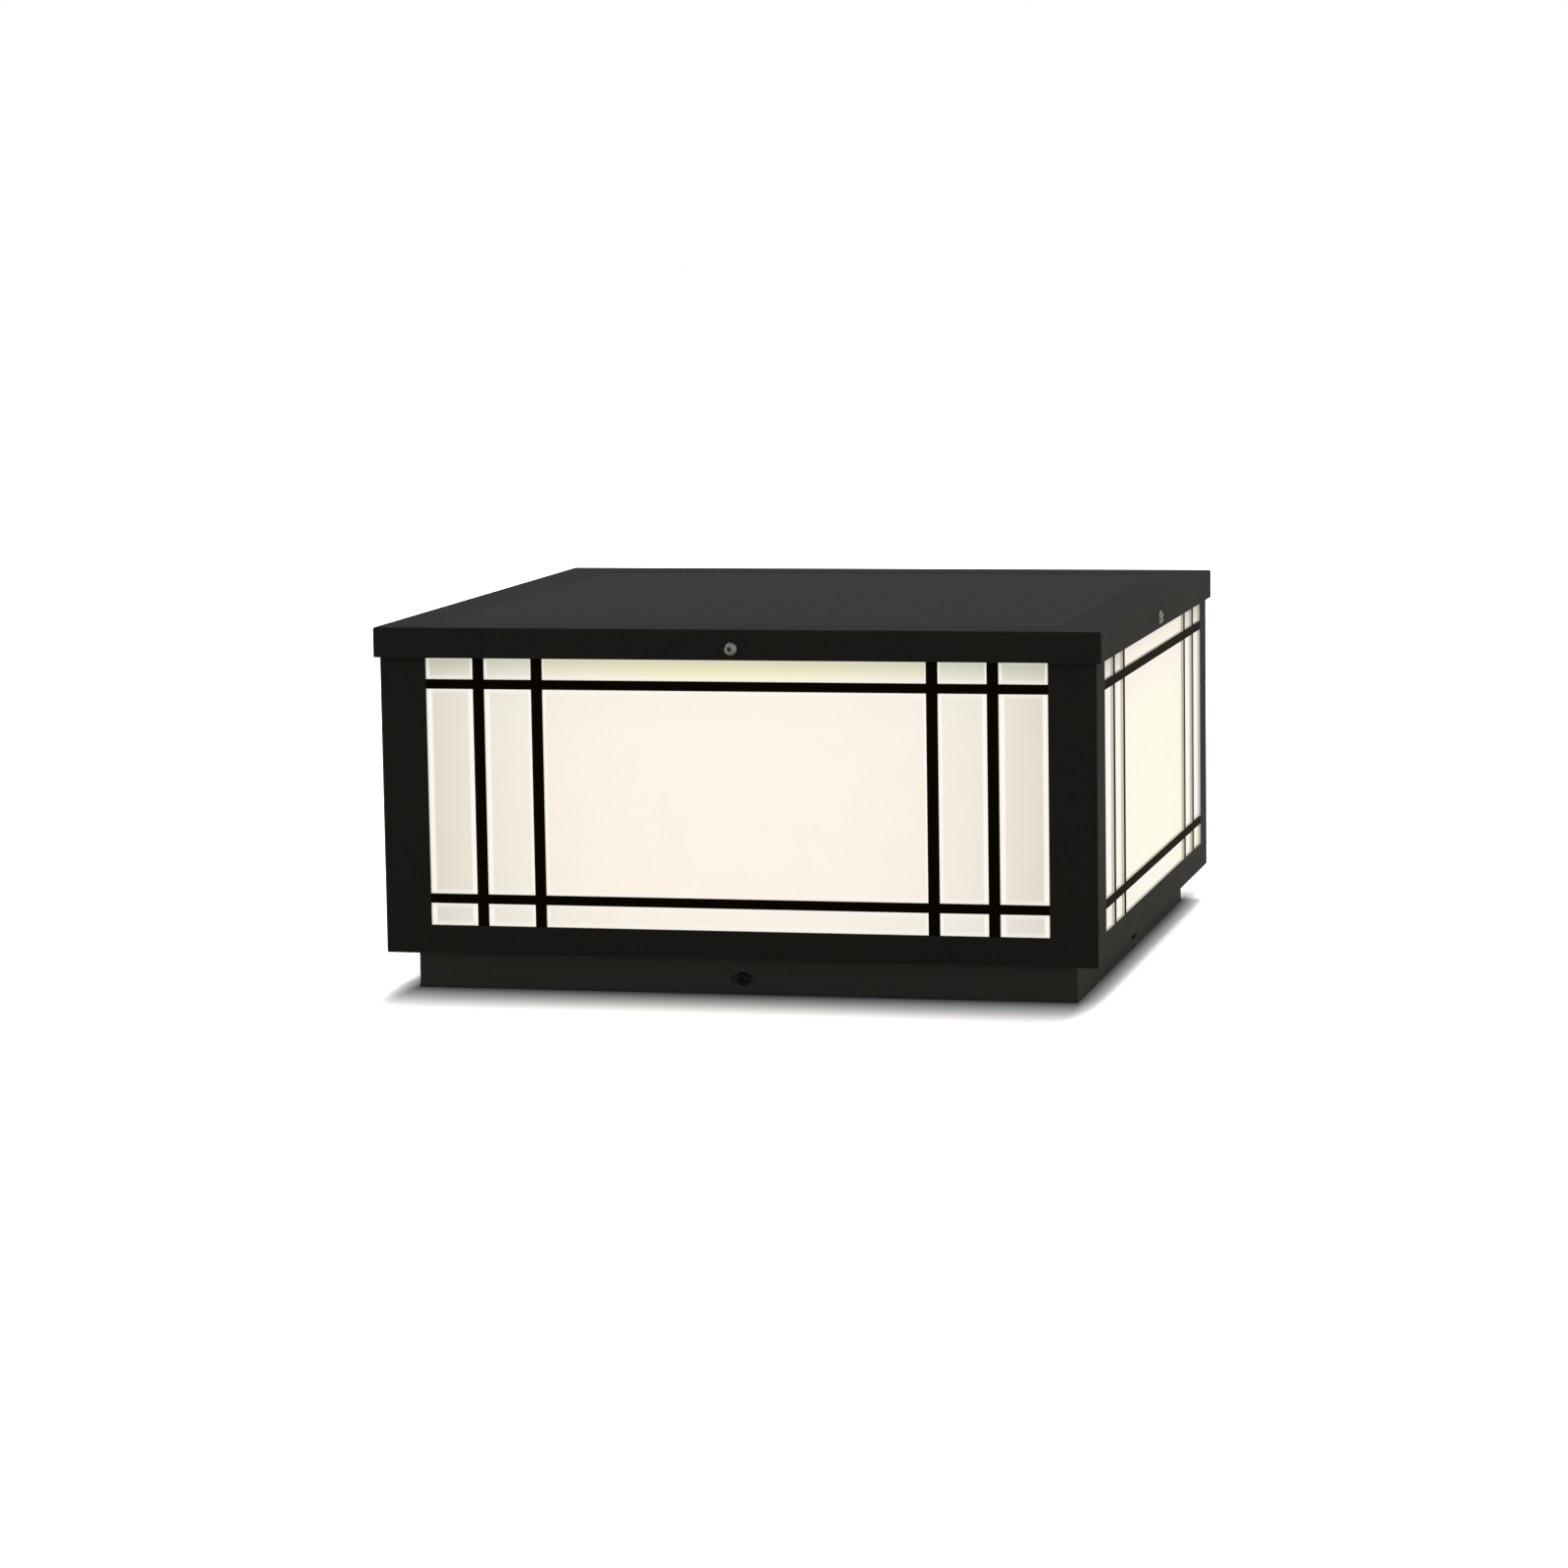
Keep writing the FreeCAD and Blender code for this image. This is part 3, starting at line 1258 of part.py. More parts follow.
def make_button():
    """A push button that faces down through the gear tray, kept in by its collar, its housing held by a nut."""
    place = (button_out, button_out)
    block_half = size.terminal_block_side / 2
    x, y = place
    bezel = rod("bezel", barrel_radius + size.bezel_rim, bezel_low, gear_bottom, place)
    barrel = rod("barrel", barrel_radius, bezel_low, barrel_top, place)
    block = box(
        "terminal_block", (x - block_half, x + block_half), (y - block_half, y + block_half),
        (barrel_top, barrel_top + size.terminal_block_height))
    mouth = rod("button_mouth", size.button_radius + size.button_gap, bezel_low - size.overrun, button_high, place)
    well = rod("button_well", collar_radius + size.button_gap, collar_low, button_well_top, place)
    node("button_housing", cut("button_shell", fuse("button_solid", bezel, barrel, block), mouth, well))

    cap = doc.addObject("PartDesign::Body", "ButtonCap")
    disc = sketch(cap, "ButtonOutline", "XY_Plane", button_low)
    circle(disc, place, size.button_radius)
    pad(cap, "ButtonPad", disc, size.button_length)
    collar = sketch(cap, "ButtonCollar", "XY_Plane", collar_low)
    circle(collar, place, collar_radius)
    pad(cap, "ButtonCollarPad", collar, button_high - collar_low)

    def on_low_rim(edge):
        return abs(edge.BoundBox.ZMax - button_low.value) < SMALL

    fillet(cap, "ButtonRim", on_low_rim, size.button_dome)
    node("power_button", cap)

    flats = (barrel_radius + size.button_nut_wall) * 2
    nut = hex_nut("button_ring", flats, size.button_nut_height, barrel_radius + size.thread_gap)
    node("button_nut", set_out(nut, x, y, gear_top, Rotation()))


def lead_wire(points):
    """Straight runs joined by tangent arcs. Prints the arcs' radii and returns the wire."""
    edges, radii = [], []
    start = points[0]
    for before, corner, after in zip(points, points[1:], points[2:]):
        back, ahead = before - corner, after - corner
        run = min(back.Length, ahead.Length)
        turn = math.pi - back.getAngle(ahead)
        reach = run * LEAD_ARC_SHARE
        radii.append(reach / math.tan(turn / 2))
        back.normalize()
        ahead.normalize()
        enter, leave = corner + back * reach, corner + ahead * reach
        bisector = back + ahead
        bisector.normalize()
        depth = radii[-1] / math.cos(turn / 2) - radii[-1]
        edges.append(Part.LineSegment(start, enter).toShape())
        edges.append(Part.Arc(enter, corner + bisector * depth, leave).toShape())
        start = leave
    edges.append(Part.LineSegment(start, points[-1]).toShape())
    print("  arc radii", [round(radius, 1) for radius in radii])
    return Part.Wire(edges)


def make_lead(name, points):
    """A round lead along its points, its volume compared with its section times its length."""
    wire = lead_wire([Vector(*(as_size(part).value for part in point)) for point in points])
    first = wire.Edges[0]
    along = first.tangentAt(first.FirstParameter)
    radius = size.lead_radius.value
    section = Part.Wire(Part.Circle(first.valueAt(first.FirstParameter), along, radius).toShape())
    tube = wire.makePipeShell([section], True, False)
    expected = math.pi * radius * radius * wire.Length
    if abs(tube.Volume / expected - 1) > VOLUME_TOLERANCE_SHARE:
        raise RuntimeError(name + " has the wrong volume")
    print(name, "length", round(wire.Length, 1))
    made = doc.addObject("Part::Feature", name)
    made.Shape = tube
    node(name, made)


def battery_lead_ends():
    """Where the battery's lead leaves the battery and enters the controller."""
    (_, battery_high), _, _ = battery_spans()
    (control_low, _), _, _ = control_spans()
    middle = -size.battery_front
    half = size.battery_lead_shift
    return (battery_high, middle + half), (control_low, middle - half)


def make_dropping_lead(name, start, end):
    """A lead that leaves its box along -Y, comes down on its way and enters the controller's far wall along -Y."""
    way = [to - at for at, to in zip(start, end)]
    corners = [
        [at + whole * share for at, whole, share in zip(start, way, shares)] for shares in DROP_LEAD_SHARES
    ]
    make_lead(name, [start, *corners, end])


def make_leads():
    """The leads between the boxes in the lid, each from wall to wall."""
    (x_out, y_out), (x_in, y_in) = battery_lead_ends()
    bends = [x_out + (x_in - x_out) * share for share in BATTERY_LEAD_SHARES]
    make_lead("battery_lead", [
        (x_out, y_out, lead_level), (bends[0], y_out, lead_level),
        (bends[1], y_in, lead_level), (x_in, y_in, lead_level),
    ])

    _, (_, control_far), _ = control_spans()
    start = (as_size(0), size.junction_back - size.junction_width / 2, backsheet_bottom - size.junction_height / 2)
    x_in = size.control_right + size.control_length * PANEL_LEAD_ENTRY_SHARE
    make_dropping_lead("panel_lead", start, (x_in, control_far, lead_level))

    start = (button_out, button_out - size.terminal_block_side / 2, barrel_top + size.terminal_block_height / 2)
    x_in = size.control_right + size.control_length * BUTTON_LEAD_ENTRY_SHARE
    make_dropping_lead("button_lead", start, (x_in, control_far, lead_level))

    x, y = lead_hole_place()
    level = lead_level + size.lead_rise / 2
    make_lead("led_lead", [(x, control_far, level), (x, y, level), (x, y, gear_bottom)])


def make_lead_clips():
    """Saddles stuck to the gear tray, one round each straight end of the battery's lead."""
    (x_out, y_out), (x_in, y_in) = battery_lead_ends()
    half_width = size.lead_radius + size.lead_clip_gap + size.lead_clip_wall
    top = lead_level + half_width
    clips = []
    for k, (x, y) in enumerate(((x_out, y_out), (x_in - size.lead_clip_length, y_in))):
        block = box(
            "saddle_block_%d" % k, (x, x + size.lead_clip_length), (y - half_width, y + half_width), (gear_top, top))
        length = size.lead_clip_length + size.overrun * 2
        bore = rod("saddle_bore_%d" % k, size.lead_radius + size.lead_clip_gap, 0, length, (0, 0))
        set_out(bore, x - size.overrun, y, lead_level, Rotation(Vector(0, 1, 0), QUARTER_TURN))
        clips.append(cut("saddle_%d" % k, block, bore))
    node("lead_clips", group("saddle_set", clips))


def build():
    make_base_gasket()
    make_mounting_base()
    make_base_weld_nuts()
    make_plinth()
    make_plinth_screws()
    make_plinth_rivets()
    make_floor_pan()
    make_reflector_sheet()
    for side in range(len(SIDES)):
        make_side_panel(side)
        make_diffuser(side)
        make_corner_angle(side)
    make_diffuser_clips()
    make_clip_rivets()
    make_top_ring()
    make_lid_cap()
    make_lid_gasket()
    make_lid_screws()
    make_lid_nuts()
    make_solar_panel()
    make_solar_cells()
    make_solar_ribbons()
    make_junction_box()
    make_gear_tray()
    make_tray_studs_and_nuts()
    make_battery_case()
    make_battery_cells()
    make_battery_cover()
    make_control_case()
    make_control_board()
    make_control_cover()
    make_light_board()
    make_button()
    make_leads()
    make_lead_clips()


def check_and_export():
    """Stops if any object failed or any sub-part is empty or invalid, and otherwise writes one file per sub-part."""
    doc.recompute()
    for thing in doc.Objects:
        if "Invalid" in thing.State or "Error" in thing.State:
            raise RuntimeError(thing.Name + " failed")
    for name, thing in nodes.items():
        if thing.Shape.isNull() or not thing.Shape.isValid() or not thing.Shape.Solids:
            raise RuntimeError(name + " has no valid shape")
    os.makedirs("parts", exist_ok=True)
    for name, thing in nodes.items():
        thing.Shape.exportStep("parts/%s.step" % name)
    print(len(nodes), "sub-parts written")


build()
check_and_export()
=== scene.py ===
"""The looks of the flat square pillar lamp: its camera, studio, finishes and the one piece made here.

Everything is in metres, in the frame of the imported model.
"""

import json

import bpy
import numpy as np
from mathutils import Matrix, Vector


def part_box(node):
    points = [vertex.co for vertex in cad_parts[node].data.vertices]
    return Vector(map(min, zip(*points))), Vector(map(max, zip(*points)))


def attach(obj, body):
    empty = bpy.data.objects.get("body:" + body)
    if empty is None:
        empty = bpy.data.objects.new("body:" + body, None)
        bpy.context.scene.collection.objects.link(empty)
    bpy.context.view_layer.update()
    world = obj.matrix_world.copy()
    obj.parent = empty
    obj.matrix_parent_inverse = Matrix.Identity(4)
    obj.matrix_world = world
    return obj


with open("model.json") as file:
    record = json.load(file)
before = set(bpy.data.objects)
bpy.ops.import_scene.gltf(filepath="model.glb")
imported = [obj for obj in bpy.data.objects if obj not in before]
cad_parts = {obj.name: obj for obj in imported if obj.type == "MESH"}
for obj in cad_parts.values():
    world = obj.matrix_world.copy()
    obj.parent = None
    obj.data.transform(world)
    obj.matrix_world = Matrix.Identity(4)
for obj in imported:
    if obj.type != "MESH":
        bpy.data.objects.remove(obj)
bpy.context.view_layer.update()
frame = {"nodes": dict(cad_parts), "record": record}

# where the camera of the photograph stood, and how it was held
CAMERA_PLACE = (0.61936, -2.66096, 0.43892)
CAMERA_LOOK = (-0.23175, 0.9647, -0.12545)
CAMERA_UP = (-0.0141, 0.1257, 0.9920)
CAMERA_LENS = 108.09

# the surround as it lights the lamp, and two soft lamps: name, place, where it points, side, watts
WORLD_FILL = 0.62
SOFTBOXES = (
    ("overhead_softbox", (0.0, 0.75, 2.6), (0.0, 0.0, 0.0), 1.5, 38.0),
    ("front_softbox", (0.9, -3.5, 0.75), (0.0, 0.0, 0.1), 1.4, 26.0),
)

# the floor's rings, and how far it reaches in under the gasket's edge
FLOOR_RINGS = (0.6, 2.0, 6.0, 18.0)
FLOOR_TURNS = 96
FLOOR_UNDER_GASKET = 0.001
# how pale the camera sees it near the lamp and afar, between which distances it grows paler, and the warm
# tone in which it lights the lamp, painted light for the lamp's own glow on it
FLOOR_SEEN = 1.9
FLOOR_SEEN_AFAR = 4.0
FLOOR_PALES = (0.5, 3.0)
FLOOR_PAINTED_GLOW = (0.84, 0.79, 0.69)
# the painted contact shadow: its tone at the plinth's foot, and how far it reaches sideways and in depth
PAINTED_FOOT_SHADOW = 0.12
FOOT_REACH = (0.014, 0.088)

# the lamp's own planes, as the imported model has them
LID_TOP = 0.203
PLINTH_TOP = 0.0216
LID_SCREW_LEVEL = 0.1923
PLINTH_SCREW_LEVEL = 0.00903
# how far under the lid's top plane the coat still counts as its top, and how much rougher it is there
LID_TOP_SKIN = 0.00004
LID_TOP_DULLER = 0.16
# the middle of the side panels' sheet, out from the lamp's own middle, and how near to it is still the sheet
PANEL_MIDDLE = 0.19925
PANEL_REACH = 0.0016

# the window lattice as a panel has it: where panes begin and end, out from its middle and up from the floor,
# and how far past the outermost panes its tone goes
PANE_COLUMNS = ((-0.1072, 0.1072), (0.1136, 0.1404), (0.1468, 0.1736))
PANE_ROWS = ((0.0375, 0.0497), (0.0551, 0.1689), (0.1743, 0.1865))
LATTICE_MARGIN = 0.0001
# how near to a pane's outline a point of the coat still counts as on the cut edge
CUT_EDGE_RIM = 0.00004
# the coat's two tones on the frame; the lattice's tone, darker as a painted shade; the cut edges' tone, pale
# as a painted glow of the panes; the plinth's tone, greyer as painted light from the floor
FRAME_TONES = ((0.0042, 0.0036, 0.0028), (0.0058, 0.0050, 0.0038))
LATTICE_SHADE_TONE = (0.0100, 0.0060, 0.0020)
CUT_EDGE_PAINTED_GLOW = (0.60, 0.57, 0.50)
PLINTH_BOUNCE_LIGHT = (0.0210, 0.0198, 0.0178)

# the opal sheets' glow: how strong it is, and where out along a side it has fallen by its full share
GLOW_STRENGTH = 0.63
GLOW_REACH = 0.160
GLOW_DROP_FRONT = 0.19
GLOW_DROP_FLANK = 0.06
# between which heights the low row ends, the painted shade under the lid comes in, and the sheet's crown
# takes a darker painted shade
LOW_ROW_ENDS = (0.050, 0.056)
HEAD_RISES = (0.140, 0.172)
TOP_ROW_STARTS = 0.172
CROWN_RISES = (0.1745, 0.1870)
# how far out the flanks' tone changes and the light board's cast fades
FLANK_TURNS = (0.110, 0.143)
BOARD_CAST_FADES = (0.030, 0.090)
# the low row's loss of glow, the middle pane's share of its tone, the level of the flanks' outer panes in the
# top row, and how much of the crown their middle panes show
LOW_ROW_LOSS = 0.05
LOW_ROW_MIDDLE = 0.7
FLANK_TOP_OUTER = 0.84
FLANK_CROWN_MIDDLE = 0.35
# the glow's tones: on the front and back and in their panes between the uprights, on the right and left sides
# (the flanks) and in their outer panes, and in the low row
FRONT_GLOW = (0.985, 0.904, 0.816)
FRONT_GLOW_BETWEEN = (0.958, 0.914, 0.820)
FLANK_GLOW = (0.924, 0.915, 0.780)
FLANK_GLOW_OUTER = (0.965, 0.945, 0.925)
LOW_GLOW = (1.0, 0.955, 0.865)
# the same under the lid, a painted shade where the light board hides the sheet from its own lamps, up to the
# sheet's crown
FRONT_HEAD = (0.945, 0.893, 0.795)
FRONT_HEAD_BETWEEN = (0.915, 0.893, 0.797)
FLANK_HEAD = (0.950, 0.860, 0.785)
FLANK_HEAD_OUTER = (0.945, 0.905, 0.825)
BOARD_CAST = (0.955, 0.915, 0.680)
FRONT_CROWN = (0.665, 0.665, 0.435)
FRONT_CROWN_OUTER = (0.640, 0.650, 0.510)
FLANK_CROWN = (0.700, 0.690, 0.620)
# the sheet's own colour, beside its glow
OPAL_BODY = (0.42, 0.42, 0.42)
# a pane's bevel: its glow, and the shares of it on its sides, on its ends and in the crown
BEVEL_GLOW = (1.0, 0.985, 0.945)
BEVEL_SIDES = 0.84
BEVEL_ENDS = 0.55
BEVEL_IN_CROWN = 0.45
# its width in the outer panes and in the middle one, and where out along a side it widens; between which
# heights it narrows, and to what share; and how far past the pane's outline it still shows
PANE_BEVEL = 0.0042
PANE_BEVEL_MIDDLE = 0.0022
BEVEL_WIDENS = (0.108, 0.145)
BEVEL_NARROWS = (0.170, 0.174)
BEVEL_NARROWED = 0.6
PANE_RIM = 0.0004

# the rings that a lathe leaves on a screw's head, and the hexagon socket in it
LATHE_RING = 0.00032
SOCKET_RADIUS = 0.00144
# from thread to thread of the backing film's weave
FILM_WEAVE = 0.0012

# the joint round the solar glass, and its bead: how far it laps onto the glass, how far it goes down in the
# joint, how far it stays under the lid's top, and how far it stands over the glass
GLASS_JOINT = 0.0005
GLASS_BEAD_LAP = 0.0006
GLASS_BEAD_DEPTH = 0.0012
GLASS_BEAD_TUCK = 0.00002
GLASS_BEAD_LIFT = 0.00004


class Nodes:
    """Short ways to lay nodes into a tree."""

    def __init__(self, tree):
        self.tree = tree

    def feed(self, socket, value):
        """Gives a socket its value: another node's output, a colour, or a plain number or triple."""
        if isinstance(value, bpy.types.NodeSocket):
            self.tree.links.new(value, socket)
        elif isinstance(value, tuple) and len(value) == 3 and len(socket.default_value) == 4:
            socket.default_value = (*value, 1.0)
        else:
            socket.default_value = value

    def node(self, kind, inputs=(), **settings):
        """Adds a node: its settings come first, because they decide which inputs it has."""
        made = self.tree.nodes.new(kind)
        for name, value in settings.items():
            setattr(made, name, value)
        for name, value in dict(inputs).items():
            self.feed(made.inputs[name], value)
        return made

    def math(self, operation, a, b=0.0, c=0.0, clamp=False):
        made = self.node("ShaderNodeMath", {0: a, 1: b, 2: c}, operation=operation, use_clamp=clamp)
        return made.outputs[0]

    def product(self, first, *others):
        """The shares multiplied: how far all of them hold together."""
        for other in others:
            first = self.math("MULTIPLY", first, other)
        return first

    def rest(self, share):
        """What a share leaves of 1."""
        return self.math("SUBTRACT", 1.0, share)

    def vector(self, operation, a, b=(0.0, 0.0, 0.0)):
        return self.node("ShaderNodeVectorMath", {0: a, 1: b}, operation=operation).outputs["Vector"]

    def length(self, vector):
        return self.node("ShaderNodeVectorMath", {0: vector}, operation="LENGTH").outputs["Value"]

    def spread(self, value, low, high, to_low=0.0, to_high=1.0, smooth=False):
        """Carries a value's range from low to high over to another range, held at its ends."""
        made = self.node("ShaderNodeMapRange", {"Value": value, "From Min": low, "From Max": high,
                                                "To Min": to_low, "To Max": to_high},
                         interpolation_type="SMOOTHSTEP" if smooth else "LINEAR", clamp=True)
        return made.outputs[0]

    def blend(self, share, first, second, way="MIX"):
        """From the first colour to the second: a colour mix takes them at its inputs 6 and 7."""
        made = self.node("ShaderNodeMix", data_type="RGBA", blend_type=way)
        self.feed(made.inputs[0], share)
        self.feed(made.inputs[6], first)
        self.feed(made.inputs[7], second)
        return made.outputs[2]

    def tinted(self, first, second):
        return self.blend(1.0, first, second, way="MULTIPLY")

    def grey(self, value):
        return self.node("ShaderNodeCombineColor", {0: value, 1: value, 2: value}).outputs[0]


class Finish(Nodes):
    """A named finish: its Principled shader, and the places and patterns that it is made from."""

    def __init__(self, name, tone, roughness=0.5, metallic=0.0, specular=0.5):
        self.material = bpy.data.materials.new(name)
        self.material.use_nodes = True
        super().__init__(self.material.node_tree)
        self.shader = next(n for n in self.tree.nodes if n.type == "BSDF_PRINCIPLED")
        self.shader.inputs["Base Color"].default_value = (*tone, 1.0)
        self.shader.inputs["Roughness"].default_value = roughness
        self.shader.inputs["Metallic"].default_value = metallic
        self.shader.inputs["Specular IOR Level"].default_value = specular
        self.material.diffuse_color = (*tone, 1.0)
        # the place on the piece, in metres
        self.place = self.node("ShaderNodeTexCoord").outputs["Object"]

    def axes(self):
        split = self.node("ShaderNodeSeparateXYZ", {0: self.place})
        return split.outputs[0], split.outputs[1], split.outputs[2]

    def along(self):
        """How far a point of any side lies from that side's middle: the lesser of |x| and |y|."""
        x, y, _ = self.axes()
        return self.math("MINIMUM", self.math("ABSOLUTE", x), self.math("ABSOLUTE", y))

    def inside(self, place, spans):
        """How deep a place lies in the span that holds it: the largest of the ways in, below 0 outside."""
        depth = None
        for low, high in spans:
            way = self.math("MINIMUM", self.math("SUBTRACT", place, low), self.math("SUBTRACT", high, place))
            depth = way if depth is None else self.math("MAXIMUM", depth, way)
        return depth

    def stretched(self, scale):
        return self.node("ShaderNodeMapping", {"Vector": self.place, "Scale": scale}).outputs[0]

    def speckle(self, per_metre, detail=2.0, place=None):
        """Noise with that many lumps to the metre, from 0 to 1."""
        made = self.node("ShaderNodeTexNoise", {"Vector": place or self.place, "Scale": per_metre,
                                                "Detail": detail})
        return made.outputs[0]

    def cells(self, per_metre, output="Distance"):
        """Cells, that many to the metre: how far a point is from its cell's middle, or the cell's colour."""
        made = self.node("ShaderNodeTexVoronoi", {"Vector": self.place, "Scale": per_metre})
        return made.outputs[output]

    def colour(self, value):
        self.feed(self.shader.inputs["Base Color"], value)

    def roughness(self, value):
        self.feed(self.shader.inputs["Roughness"], value)

    def glows(self, tone, strength):
        self.feed(self.shader.inputs["Emission Color"], tone)
        self.shader.inputs["Emission Strength"].default_value = strength

    def relief(self, height, depth, strength):
        """Raises the surface by a height from 0 to 1, times the depth in metres."""
        made = self.node("ShaderNodeBump", {"Height": height, "Distance": depth, "Strength": strength})
        self.feed(self.shader.inputs["Normal"], made.outputs[0])


def quads(rows, columns, closed):
    """The faces of a grid of points, row after row: its columns meet at the ends, and its rows if closed."""
    row, column = np.meshgrid(np.arange(rows if closed else rows - 1), np.arange(columns), indexing="ij")
    first, after = row * columns, (row + 1) % rows * columns
    beside = (column + 1) % columns
    return np.stack([first + column, after + column, after + beside, first + beside], axis=-1).reshape(-1, 4)


def new_piece(name, points, faces):
    mesh = bpy.data.meshes.new(name)
    mesh.from_pydata(points.reshape(-1, 3).tolist(), [], faces.tolist())
    piece = bpy.data.objects.new(name, mesh)
    bpy.context.scene.collection.objects.link(piece)
    return piece


def look_as_photographed():
    """Sets the camera where the photograph was taken from: its columns are right, up and back."""
    look = Vector(CAMERA_LOOK).normalized()
    right = look.cross(Vector(CAMERA_UP)).normalized()
    up = right.cross(look)
    data = bpy.data.cameras.new("photo_camera")
    data.sensor_width = 36.0
    data.lens = CAMERA_LENS
    data.clip_end = 60.0
    camera = bpy.data.objects.new("photo_camera", data)
    turn = Matrix((right, up, -look)).transposed().to_4x4()
    camera.matrix_world = Matrix.Translation(CAMERA_PLACE) @ turn
    bpy.context.scene.collection.objects.link(camera)
    bpy.context.scene.camera = camera


def light_the_studio():
    """A white surround for the camera and for gloss, a soft grey fill for the rest, and large soft lamps."""
    bpy.context.scene.view_settings.view_transform = "Standard"
    world = bpy.data.worlds.new("white_surround")
    world.use_nodes = True
    sky = Nodes(world.node_tree)
    ray = sky.node("ShaderNodeLightPath").outputs
    seen = sky.math("MAXIMUM", ray["Is Camera Ray"], ray["Is Glossy Ray"])
    seen = sky.math("MAXIMUM", seen, ray["Is Transmission Ray"])
    ground = world.node_tree.nodes["Background"].inputs
    sky.feed(ground["Color"], (1.0, 1.0, 1.0))
    sky.feed(ground["Strength"], sky.spread(seen, 0.0, 1.0, WORLD_FILL, 1.0))
    bpy.context.scene.world = world
    for name, place, target, side, watts in SOFTBOXES:
        data = bpy.data.lights.new(name, "AREA")
        data.shape = "SQUARE"
        data.size = side
        data.energy = watts
        lamp = bpy.data.objects.new(name, data)
        lamp.location = place
        lamp.rotation_euler = (Vector(target) - Vector(place)).to_track_quat("-Z", "Y").to_euler()
        lamp.visible_glossy = False
        lamp.visible_camera = False
        bpy.context.scene.collection.objects.link(lamp)


def white_paper():
    """The floor's paper.

    The camera sees it paler the further it lies from the lamp, so that it runs into the white surround, and
    darker close round the plinth, a painted contact shadow: there its tone grows with the length of the way
    out of the plinth's square, each axis measured against its own reach. What it throws back on the lamp is a
    little warm, painted light for the lamp's own light on it. From below the camera sees through it to the
    lamp's underside.
    """
    material = bpy.data.materials.new("white_paper")
    material.use_nodes = True
    paper = Nodes(material.node_tree)
    paper.tree.nodes.clear()
    ray = paper.node("ShaderNodeLightPath").outputs
    place = paper.node("ShaderNodeTexCoord").outputs["Object"]
    paleness = paper.spread(paper.length(place), *FLOOR_PALES, FLOOR_SEEN, FLOOR_SEEN_AFAR)
    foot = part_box("plinth")[1]
    off_foot = paper.vector("SUBTRACT", paper.vector("ABSOLUTE", place), (foot.x, foot.y, 0.0))
    off_foot = paper.vector("MAXIMUM", off_foot)
    off_foot = paper.length(paper.vector("DIVIDE", off_foot, (*FOOT_REACH, 1.0)))
    # a painted contact shadow: the seen tone darkens towards the plinth's square
    seen = paper.product(paleness, paper.spread(off_foot, 0.0, 1.0, PAINTED_FOOT_SHADOW, 1.0))
    # other rays find the floor warm: painted light for the lamp's own glow falling on it
    tone = paper.blend(ray["Is Camera Ray"], FLOOR_PAINTED_GLOW, seen)
    sheet = paper.node("ShaderNodeBsdfDiffuse", {"Color": tone}).outputs[0]
    clear = paper.node("ShaderNodeBsdfTransparent").outputs[0]
    under = paper.product(paper.node("ShaderNodeNewGeometry").outputs["Backfacing"], ray["Is Camera Ray"])
    either = paper.node("ShaderNodeMixShader", {0: under, 1: sheet, 2: clear}).outputs[0]
    paper.node("ShaderNodeOutputMaterial", {"Surface": either})
    return material


def lay_the_floor():
    """A round white floor, as rings round the lamp, with a square opening under it that the gasket covers.

    The first ring is the opening's edge: its radius is half the side over the larger of |cos| and |sin| of
    the turn. Through the opening the surround lights the lamp's underside, which would otherwise be black.
    """
    turns = np.linspace(0.0, 2.0 * np.pi, FLOOR_TURNS, endpoint=False)
    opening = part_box("base_gasket")[1].x - FLOOR_UNDER_GASKET
    edge = opening / np.maximum(np.abs(np.cos(turns)), np.abs(np.sin(turns)))
    radii = np.vstack([edge] + [np.full_like(turns, radius) for radius in FLOOR_RINGS])
    points = np.stack([radii * np.cos(turns), radii * np.sin(turns), np.zeros_like(radii)], axis=-1)
    floor = new_piece("studio_floor", points, quads(len(radii), FLOOR_TURNS, closed=False))
    floor.data.materials.append(white_paper())


